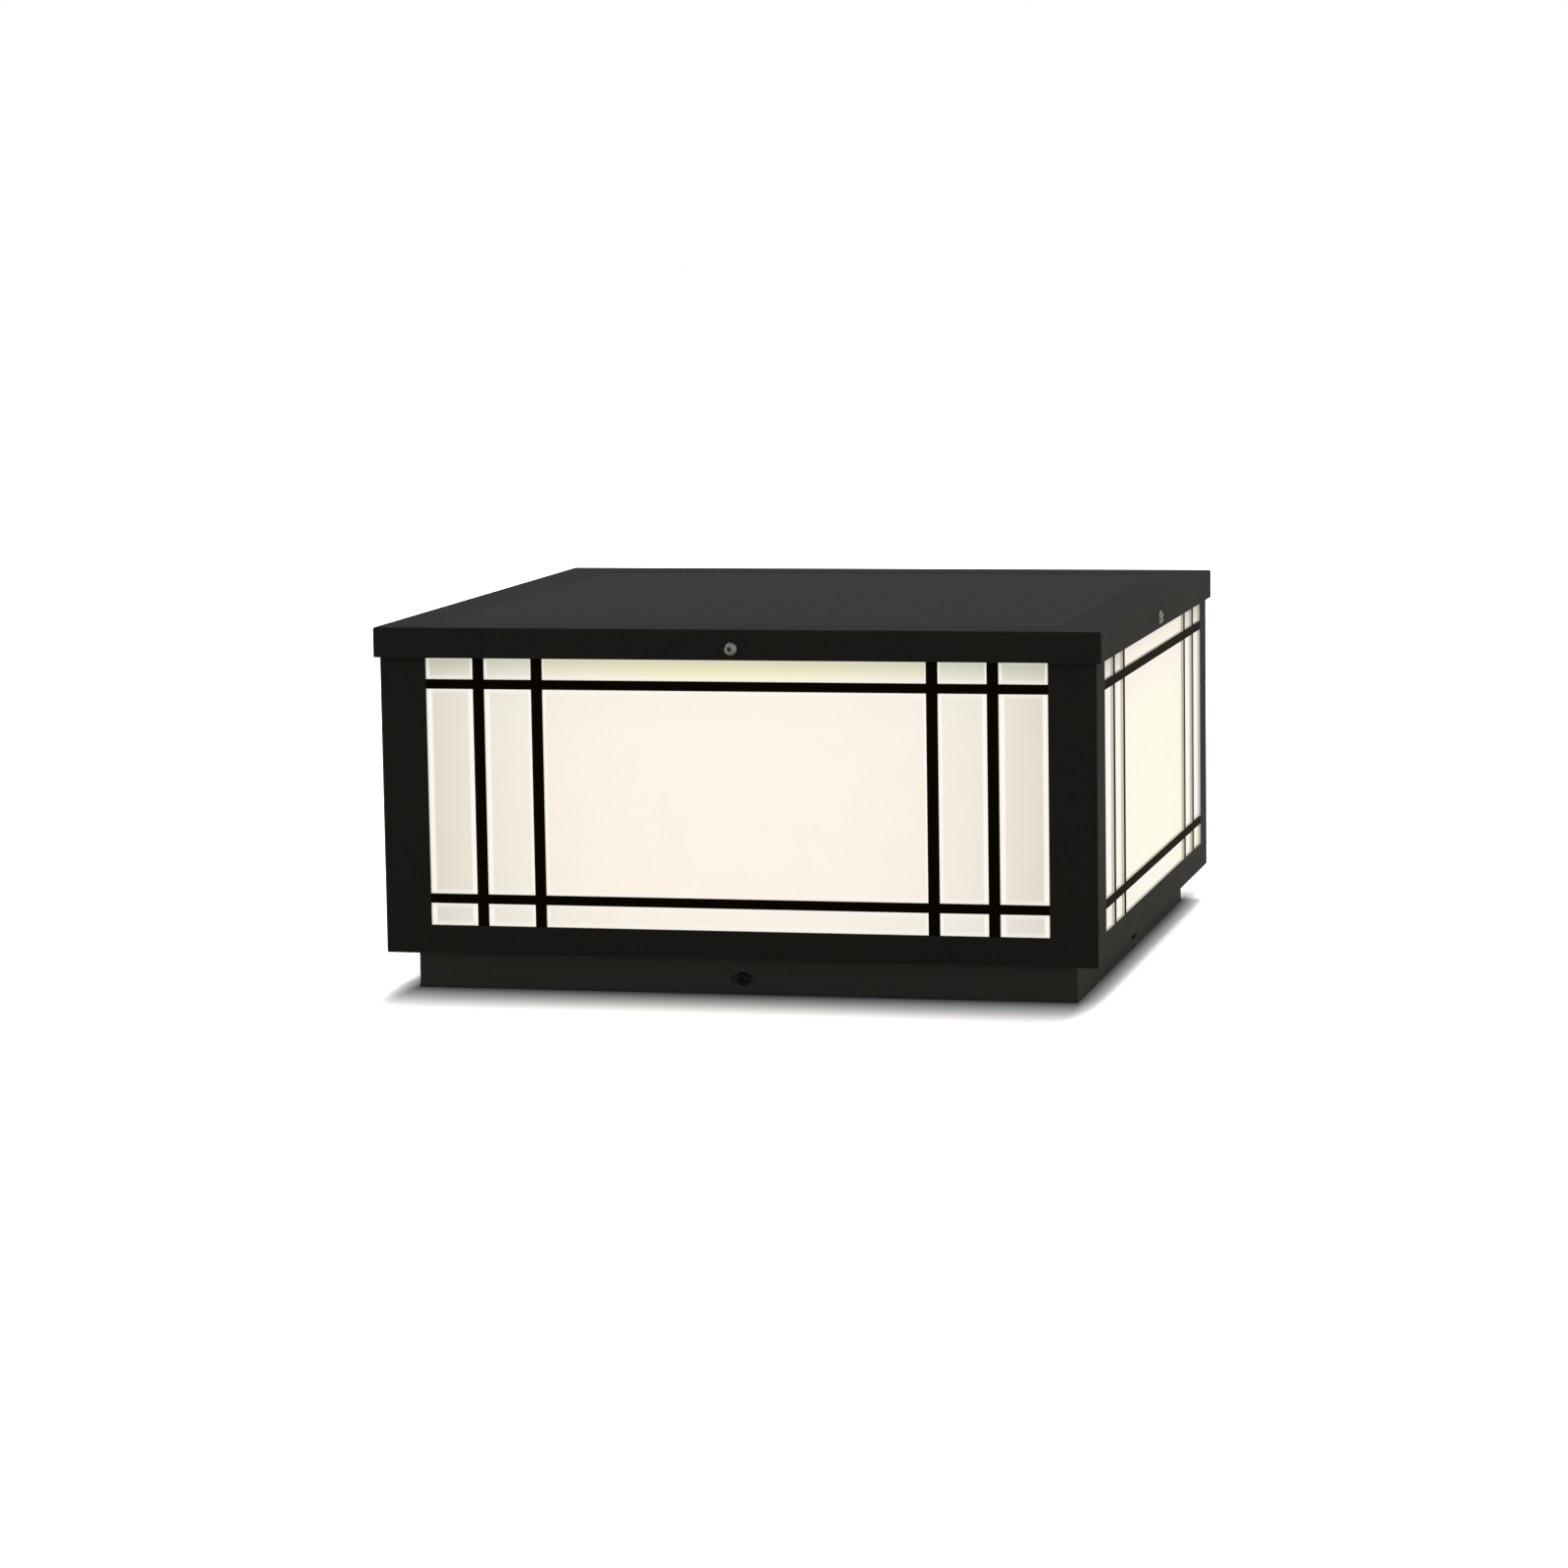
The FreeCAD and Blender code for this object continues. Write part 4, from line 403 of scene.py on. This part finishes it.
def powder_coat():
    """Fine black powder coat: a shallow orange-peel skin with a finer grain on it.

    Within the windows the thin bars are a deeper black than the frame round them, a painted shade, and their
    cut edges, the faces that look along the sheet, are pale with a painted glow of the panes. The plinth is a
    shade greyer, painted light from the floor, and the lid's top came out of the spray a little duller than
    the upright faces.
    """
    coat = Finish("black_powder_coat", (0.0050, 0.0043, 0.0033), roughness=0.76, specular=0.11)
    peel = coat.speckle(1100.0, detail=1.0)
    grain = coat.speckle(3600.0, detail=1.0)
    patch = coat.speckle(14.0)
    mottle = coat.math("MULTIPLY_ADD", patch, 0.6, coat.math("MULTIPLY", grain, 0.4))
    frame_tone = coat.blend(coat.spread(mottle, 0.3, 0.7), *FRAME_TONES)
    x, y, up = coat.axes()
    # the plinth is made greyer than the frame: painted light lifting the shade under the body's overhang
    frame_tone = coat.blend(coat.math("LESS_THAN", up, PLINTH_TOP), frame_tone, PLINTH_BOUNCE_LIGHT)
    out = coat.along()
    reach = coat.math("MAXIMUM", coat.math("ABSOLUTE", x), coat.math("ABSOLUTE", y))
    off_sheet = coat.math("ABSOLUTE", coat.math("SUBTRACT", reach, PANEL_MIDDLE))
    lattice = coat.product(coat.math("LESS_THAN", off_sheet, PANEL_REACH),
                           coat.math("GREATER_THAN", up, PANE_ROWS[0][0] - LATTICE_MARGIN),
                           coat.math("LESS_THAN", up, PANE_ROWS[-1][1] + LATTICE_MARGIN),
                           coat.math("LESS_THAN", out, PANE_COLUMNS[-1][1] + LATTICE_MARGIN))
    in_pane = coat.math("MINIMUM", coat.inside(out, PANE_COLUMNS), coat.inside(up, PANE_ROWS))
    # the cut edges are painted pale: a painted glow of the panes on the faces that look along the sheet
    glow_lit_edge = coat.product(lattice, coat.math("GREATER_THAN", in_pane, -CUT_EDGE_RIM))
    # the bars are a deeper black than the frame round them: a painted shade
    coat.colour(coat.blend(glow_lit_edge, coat.blend(lattice, frame_tone, LATTICE_SHADE_TONE), CUT_EDGE_PAINTED_GLOW))
    coat.feed(coat.shader.inputs["Metallic"], coat.math("SUBTRACT", lattice, glow_lit_edge))
    skin = coat.spread(coat.math("ADD", patch, grain), 0.7, 1.3, 0.67, 0.73)
    duller = coat.math("MULTIPLY", coat.math("GREATER_THAN", up, LID_TOP - LID_TOP_SKIN), LID_TOP_DULLER)
    coat.roughness(coat.math("MAXIMUM", coat.math("ADD", skin, duller), lattice))
    coat.relief(peel, depth=0.00002, strength=0.7)
    return coat.material


def opal_sheet():
    """Opal acrylic lit from within.

    The glow is 1 in the middle of each side and falls with the cube of the way out. It fades again over the
    top few centimetres, most of all in red and blue, a painted shade where the light board hides the sheet
    from its own lamps. A bevel lights up over its width from the nearest edge of its pane, a painted
    highlight.
    """
    opal = Finish("milk_diffuser", (0.8, 0.78, 0.74), roughness=0.42, specular=0.30)
    x, y, up = opal.axes()
    out = opal.along()
    sideways = opal.inside(out, PANE_COLUMNS)
    upright = opal.inside(up, PANE_ROWS)
    # 1 on the right and left sides, in the middle panes, in the panes between the uprights, and in each row
    flank = opal.math("GREATER_THAN", opal.math("ABSOLUTE", x), opal.math("ABSOLUTE", y))
    centre = opal.spread(out, PANE_COLUMNS[0][1], PANE_COLUMNS[1][0], 1.0, 0.0)
    last_bar = (PANE_COLUMNS[1][1] + PANE_COLUMNS[2][0]) / 2.0
    between = opal.product(opal.rest(centre), opal.math("LESS_THAN", out, last_bar))
    low_row = opal.spread(up, *LOW_ROW_ENDS, 1.0, 0.0)
    top_row = opal.math("GREATER_THAN", up, TOP_ROW_STARTS)
    # on the right and left sides only the outer panes take the full painted shade under the lid
    inner = opal.product(flank, centre)
    # the painted shade under the lid, and the darker painted shade over the sheet's crown
    head_shade = opal.spread(up, *HEAD_RISES, smooth=True)
    crown_shade = opal.product(opal.spread(up, *CROWN_RISES), opal.spread(inner, 0.0, 1.0, 1.0, FLANK_CROWN_MIDDLE))

    fall = opal.math("POWER", opal.math("DIVIDE", out, GLOW_REACH), 3.0)
    fall = opal.product(fall, opal.spread(flank, 0.0, 1.0, GLOW_DROP_FRONT, GLOW_DROP_FLANK))
    top_outer = opal.product(opal.math("SUBTRACT", flank, inner), top_row)
    level = opal.product(opal.rest(opal.math("MULTIPLY", low_row, LOW_ROW_LOSS)), opal.rest(fall),
                         opal.spread(top_outer, 0.0, 1.0, 1.0, FLANK_TOP_OUTER))

    # the panes next to the middle one read a trace greener than it and the outer ones
    front_tone = opal.blend(between, FRONT_GLOW, FRONT_GLOW_BETWEEN)
    flank_tone = opal.blend(opal.spread(out, *FLANK_TURNS), FLANK_GLOW, FLANK_GLOW_OUTER)
    tone = opal.blend(flank, front_tone, flank_tone)
    pale = opal.product(low_row, opal.spread(centre, 0.0, 1.0, 1.0, LOW_ROW_MIDDLE))
    tone = opal.blend(pale, tone, LOW_GLOW)
    front_head = opal.blend(between, FRONT_HEAD, FRONT_HEAD_BETWEEN)
    flank_head = opal.blend(inner, FLANK_HEAD_OUTER, FLANK_HEAD)
    tone = opal.blend(head_shade, tone, opal.blend(flank, front_head, flank_head))
    # the light board's painted yellow cast shows most in the middle of the front and back
    cast = opal.product(top_row, opal.rest(flank), opal.spread(out, *BOARD_CAST_FADES, 1.0, 0.0))
    tone = opal.blend(cast, tone, BOARD_CAST)
    front_crown = opal.blend(centre, FRONT_CROWN_OUTER, FRONT_CROWN)
    tone = opal.blend(crown_shade, tone, opal.blend(flank, front_crown, FLANK_CROWN))
    glow = opal.tinted(tone, opal.grey(level))

    # the outer panes' bevels are the widest, and those of the low panes under the lid the narrowest
    wide = opal.product(opal.spread(out, *BEVEL_WIDENS, PANE_BEVEL_MIDDLE, PANE_BEVEL),
                        opal.spread(up, *BEVEL_NARROWS, 1.0, BEVEL_NARROWED))
    side_bevel = opal.math("SUBTRACT", 1.0, opal.math("DIVIDE", sideways, wide), clamp=True)
    side_bevel = opal.spread(side_bevel, 0.10, 0.45, 0.0, BEVEL_SIDES, smooth=True)
    end_bevel = opal.spread(upright, 0.0006, PANE_BEVEL * 0.75, BEVEL_ENDS, 0.0, smooth=True)
    in_pane = opal.math("GREATER_THAN", opal.math("MINIMUM", sideways, upright), -PANE_RIM)
    bevel = opal.product(opal.math("MAXIMUM", side_bevel, end_bevel), in_pane,
                         opal.spread(crown_shade, 0.0, 1.0, 1.0, BEVEL_IN_CROWN))
    # the bevels take a painted highlight
    glow = opal.blend(bevel, glow, BEVEL_GLOW)

    cloud = opal.spread(opal.speckle(45.0, detail=3.0), 0.3, 0.7, 0.985, 1.0)
    glow = opal.tinted(glow, opal.grey(cloud))
    opal.colour(opal.tinted(glow, OPAL_BODY))
    opal.glows(glow, strength=GLOW_STRENGTH)
    opal.relief(opal.speckle(2200.0, detail=1.0), depth=0.00001, strength=0.3)
    return opal.material


def turned_steel(name, tone, roughness, level, metallic=1.0, specular=0.5):
    """Button heads turned on a lathe: fine rings round the screw's own axis, out from the middle of its side.

    The hexagon socket in the middle is painted dark, a painted shade of its depth.
    """
    steel = Finish(name, tone, roughness=roughness, metallic=metallic, specular=specular)
    _, _, up = steel.axes()
    rise = steel.math("SUBTRACT", up, level)
    square = steel.math("ADD", steel.math("POWER", steel.along(), 2.0), steel.math("MULTIPLY", rise, rise))
    radius = steel.math("SQRT", square)
    rings = steel.math("SINE", steel.math("MULTIPLY", radius, 2.0 * np.pi / LATHE_RING))
    wear = steel.speckle(700.0, detail=3.0)
    skin = steel.blend(steel.spread(wear, 0.38, 0.62), tuple(c * 0.60 for c in tone),
                       tuple(min(1.0, c * 1.45) for c in tone))
    # the socket is painted dark: a painted shade in its depth
    socket = steel.spread(radius, SOCKET_RADIUS * 0.85, SOCKET_RADIUS, 1.0, 0.0)
    steel.colour(steel.blend(socket, skin, tuple(c * 0.22 for c in tone)))
    steel.roughness(steel.spread(wear, 0.3, 0.7, roughness - 0.06, roughness + 0.08))
    steel.relief(steel.spread(rings, -1.0, 1.0), depth=0.000006, strength=0.5)
    return steel.material


def gasket_rubber():
    """Black closed-cell rubber: a dull skin with fine pores."""
    rubber = Finish("gasket_rubber", (0.012, 0.012, 0.012), roughness=0.85, specular=0.2)
    pores = rubber.cells(1500.0)
    rubber.colour(rubber.blend(rubber.spread(pores, 0.1, 0.5), (0.006, 0.006, 0.006), (0.016, 0.016, 0.0155)))
    rubber.relief(rubber.spread(pores, 0.0, 0.6), depth=0.00004, strength=0.8)
    return rubber.material


def zinc_steel():
    """Zinc-plated steel: pale crystals a few millimetres wide, each its own grey, under rolling lines."""
    zinc = Finish("zinc_steel", (0.62, 0.63, 0.64), roughness=0.38, metallic=1.0)
    shade = zinc.node("ShaderNodeSeparateColor", {0: zinc.cells(260.0, output="Color")}).outputs[0]
    rolled = zinc.speckle(60.0, detail=4.0, place=zinc.stretched((1.0, 30.0, 1.0)))
    zinc.colour(zinc.blend(shade, (0.50, 0.51, 0.53), (0.68, 0.69, 0.70)))
    zinc.roughness(zinc.spread(zinc.math("ADD", shade, rolled), 0.4, 1.5, 0.28, 0.46))
    zinc.relief(rolled, depth=0.00001, strength=0.4)
    return zinc.material


def white_enamel(name, tone):
    """White baked enamel on sheet: smooth, with a faint orange peel and a trace of dust in patches."""
    enamel = Finish(name, tone, roughness=0.45, specular=0.4)
    dust = enamel.speckle(18.0, detail=4.0)
    enamel.colour(enamel.blend(enamel.spread(dust, 0.35, 0.75), tone, tuple(c * 0.93 for c in tone)))
    enamel.roughness(enamel.spread(dust, 0.3, 0.7, 0.40, 0.52))
    enamel.relief(enamel.speckle(700.0, detail=1.0), depth=0.00002, strength=0.5)
    return enamel.material


def solar_glass():
    """Matt solar glass with a pressed texture that takes its glare away.

    The cells show through it from above. Seen flat along the lid it closes to a matt black, as frosted glass
    does: its cover grows with the Layer Weight from 0.30 to 1.
    """
    glass = Finish("solar_glass", (0.010, 0.010, 0.012), roughness=0.82, specular=0.11)
    slant = glass.node("ShaderNodeLayerWeight", {"Blend": 0.5}).outputs["Facing"]
    glass.feed(glass.shader.inputs["Alpha"], glass.spread(slant, 0.50, 0.84, 0.30, 1.0, smooth=True))
    pressed = glass.speckle(900.0, detail=0.0)
    share = glass.spread(pressed, 0.3, 0.7)
    glass.colour(glass.blend(share, (0.0036, 0.0036, 0.0040), (0.0054, 0.0054, 0.0058)))
    glass.relief(pressed, depth=0.00001, strength=0.2)
    return glass.material


def solar_cell():
    """Mono silicon: blue-black wafers with hair-thin silver fingers every 2 mm."""
    cell = Finish("solar_cell", (0.006, 0.008, 0.018), roughness=0.35, specular=0.3)
    x, _, _ = cell.axes()
    silver = cell.spread(cell.math("PINGPONG", x, 0.001), 0.00006, 0.00012, 1.0, 0.0)
    wafer = cell.blend(cell.speckle(40.0), (0.004, 0.006, 0.016), (0.009, 0.012, 0.028))
    cell.colour(cell.blend(cell.math("MULTIPLY", silver, 0.65), wafer, (0.16, 0.17, 0.18)))
    return cell.material


def tinned_ribbon():
    """Tinned copper ribbon: bright and a little rippled along its length."""
    ribbon = Finish("cell_ribbon", (0.62, 0.62, 0.62), roughness=0.30, metallic=1.0)
    ripple = ribbon.speckle(500.0)
    ribbon.colour(ribbon.blend(ripple, (0.45, 0.45, 0.45), (0.72, 0.71, 0.70)))
    ribbon.relief(ripple, depth=0.00002, strength=0.5)
    return ribbon.material


def backsheet_film():
    """Black backing film: a fine weave pressed into its skin, the product of a sine wave each way."""
    film = Finish("solar_backsheet", (0.02, 0.02, 0.022), roughness=0.55, specular=0.3)
    x, y, _ = film.axes()
    waves = [film.math("SINE", film.math("MULTIPLY", way, 2.0 * np.pi / FILM_WEAVE)) for way in (x, y)]
    weave = film.spread(film.product(*waves), -1.0, 1.0)
    film.colour(film.blend(weave, (0.013, 0.013, 0.015), (0.026, 0.026, 0.028)))
    film.relief(weave, depth=0.00003, strength=0.5)
    return film.material


def moulded_plastic(name, dark, light, roughness=0.55):
    """Moulded plastic with a spark-eroded skin: a fine pebble, a little darker in its hollows as a painted
    shade.
    """
    plastic = Finish(name, light, roughness=roughness, specular=0.4)
    pebble = plastic.cells(1700.0)
    patch = plastic.speckle(30.0)
    share = plastic.math("MULTIPLY_ADD", pebble, 0.6, plastic.math("MULTIPLY", patch, 0.5))
    # the pebble's hollows are painted darker: a painted shade
    plastic.colour(plastic.blend(plastic.spread(share, 0.2, 0.7), dark, light))
    plastic.roughness(plastic.spread(patch, 0.3, 0.7, roughness - 0.05, roughness + 0.06))
    plastic.relief(pebble, depth=0.00003, strength=0.6)
    return plastic.material


def shrink_wrap():
    """Blue shrink film over the cells: glossy, with soft creases across it."""
    wrap = Finish("cell_wrap", (0.03, 0.16, 0.36), roughness=0.25)
    crease = wrap.speckle(70.0, detail=3.0, place=wrap.stretched((0.25, 1.0, 1.0)))
    wrap.colour(wrap.blend(wrap.spread(crease, 0.3, 0.7), (0.022, 0.12, 0.30), (0.045, 0.20, 0.42)))
    wrap.roughness(wrap.spread(crease, 0.3, 0.7, 0.18, 0.34))
    wrap.relief(crease, depth=0.0002, strength=0.3)
    return wrap.material


def nickel_strip():
    """Nickel strip: fine rolling lines, dulled in spots by the welder."""
    nickel = Finish("nickel_link", (0.62, 0.60, 0.56), roughness=0.32, metallic=1.0)
    rolled = nickel.speckle(80.0, detail=4.0, place=nickel.stretched((1.0, 25.0, 1.0)))
    spots = nickel.spread(nickel.cells(280.0), 0.10, 0.22, 1.0, 0.0)
    base = nickel.blend(rolled, (0.52, 0.50, 0.47), (0.70, 0.68, 0.63))
    nickel.colour(nickel.blend(nickel.math("MULTIPLY", spots, 0.7), base, (0.24, 0.22, 0.20)))
    nickel.relief(nickel.math("SUBTRACT", rolled, spots), depth=0.00003, strength=0.4)
    return nickel.material


def board_mask(name, mask, copper):
    """A printed board: lacquer over tracks that run square to each other, each run broken off at random."""
    board = Finish(name, mask, roughness=0.35, specular=0.45)
    x, y, _ = board.axes()
    lanes = board.spread(board.math("PINGPONG", y, 0.0016), 0.0004, 0.0006, 1.0, 0.0)
    lengths = board.spread(board.cells(130.0), 0.28, 0.34)
    cross = board.spread(board.math("PINGPONG", x, 0.0024), 0.0003, 0.0005, 1.0, 0.0)
    near = board.spread(board.cells(90.0), 0.30, 0.36, 1.0, 0.0)
    track = board.math("MAXIMUM", board.product(lanes, lengths), board.product(cross, near))
    board.colour(board.blend(track, mask, copper))
    board.relief(track, depth=0.00004, strength=0.6)
    return board.material


def led_phosphor():
    """Yellow phosphor that glows, with a fine grain."""
    chip = Finish("led_chip", (0.90, 0.74, 0.28), roughness=0.35)
    tone = chip.blend(chip.speckle(1800.0, detail=1.0), (0.95, 0.80, 0.38), (1.0, 0.90, 0.60))
    chip.colour(chip.tinted(tone, (0.8, 0.8, 0.8)))
    chip.glows(tone, strength=2.0)
    return chip.material


def lead_jacket():
    """Flexible black jacket on the leads: dull, with a fine extruded grain."""
    jacket = Finish("lead_jacket", (0.014, 0.014, 0.014), roughness=0.55, specular=0.35)
    grain = jacket.speckle(1200.0)
    jacket.colour(jacket.blend(grain, (0.009, 0.009, 0.009), (0.020, 0.020, 0.019)))
    jacket.relief(grain, depth=0.00003, strength=0.5)
    return jacket.material


def silicone():
    """Black silicone: a smooth skin with the faint ripples of the tool that drew it."""
    seal = Finish("black_silicone", (0.0050, 0.0048, 0.0045), roughness=0.72, specular=0.12)
    ripple = seal.speckle(220.0)
    seal.colour(seal.blend(ripple, (0.0040, 0.0038, 0.0035), (0.0062, 0.0060, 0.0056)))
    seal.relief(ripple, depth=0.00003, strength=0.3)
    return seal.material


def finishes():
    """Each material slot of the record and the finish it takes."""
    return {
        "black_powder_coat": powder_coat(),
        "milk_diffuser": opal_sheet(),
        "stainless_screw": turned_steel("stainless_screw", (0.19, 0.183, 0.176), 0.34, LID_SCREW_LEVEL),
        "dark_screw": turned_steel("dark_screw", (0.0040, 0.0036, 0.0032), 0.6, PLINTH_SCREW_LEVEL,
                                   metallic=0.0, specular=0.12),
        "gasket_rubber": gasket_rubber(),
        "zinc_steel": zinc_steel(),
        "white_reflector": white_enamel("white_reflector", (0.84, 0.84, 0.81)),
        "solar_glass": solar_glass(),
        "solar_cell": solar_cell(),
        "cell_ribbon": tinned_ribbon(),
        "solar_backsheet": backsheet_film(),
        "box_plastic": moulded_plastic("box_plastic", (0.020, 0.020, 0.022), (0.040, 0.040, 0.043)),
        "cell_wrap": shrink_wrap(),
        "nickel_link": nickel_strip(),
        "circuit_board": board_mask("circuit_board", (0.012, 0.10, 0.035), (0.030, 0.19, 0.070)),
        "board_parts": moulded_plastic("board_parts", (0.016, 0.016, 0.017), (0.034, 0.034, 0.036), 0.5),
        "led_board_white": board_mask("led_board_white", (0.92, 0.92, 0.91), (0.84, 0.84, 0.82)),
        "led_chip": led_phosphor(),
        "button_cap": moulded_plastic("button_cap", (0.36, 0.018, 0.014), (0.50, 0.030, 0.022), 0.3),
        "lead_jacket": lead_jacket(),
        "lead_clip": moulded_plastic("lead_clip", (0.68, 0.68, 0.65), (0.80, 0.80, 0.77)),
    }


def dress(nodes, subparts):
    """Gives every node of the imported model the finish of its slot."""
    by_slot = finishes()
    slots = {part["node"]: part["material_slot"] for part in subparts}
    for name, piece in nodes.items():
        finish = by_slot[slots[name]]
        if not piece.material_slots:
            piece.data.materials.append(finish)
        for place in piece.material_slots:
            place.material = finish


def swept_ring(name, corners, profile):
    """A closed ring: each point of the profile, given as (out, up), goes round the path's mitred corners.

    A corner lies at its own x and y, and the profile's way out is laid along both axes there, so that the
    four sides meet in mitres. The corners go round counter-clockwise seen from above, and the profile goes
    out below and back along its top, so that the faces point outwards.
    """
    flat = corners[:, None, :] + np.sign(corners)[:, None, :] * profile[None, :, :1]
    height = np.broadcast_to(profile[None, :, 1:], (len(corners), len(profile), 1))
    points = np.concatenate([flat, height], axis=2)
    piece = new_piece(name, points, quads(len(corners), len(profile), closed=True))
    piece.data.shade_smooth()
    return piece


def lay_glass_bead():
    """The bead of black silicone that closes the joint round the solar glass, tooled flush with the lid.

    Its section is a shallow hollow: across the joint it climbs from the glass to the lid as the square of the
    way, and it goes down inside the joint on straight sides.
    """
    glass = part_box("solar_glass")[1]
    lid_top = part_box("lid_cap")[1].z
    corners = glass.x * np.array([(-1.0, -1.0), (1.0, -1.0), (1.0, 1.0), (-1.0, 1.0)])
    way = np.linspace(1.0, 0.0, 9)
    across = way * (GLASS_BEAD_LAP + GLASS_JOINT) - GLASS_BEAD_LAP
    climb = glass.z + (lid_top - glass.z - GLASS_BEAD_TUCK) * way ** 2 + GLASS_BEAD_LIFT * (1.0 - way)
    foot = glass.z - GLASS_BEAD_DEPTH
    under = np.array([(-GLASS_BEAD_LAP, glass.z), (0.0, glass.z), (0.0, foot), (GLASS_JOINT, foot)])
    bead = swept_ring("glass_bead", corners, np.vstack([under, np.stack([across, climb], axis=1)]))
    bead.data.materials.append(silicone())
    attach(bead, "lid")


look_as_photographed()
light_the_studio()
lay_the_floor()
dress(frame["nodes"], frame["record"]["subparts"])
lay_glass_bead()
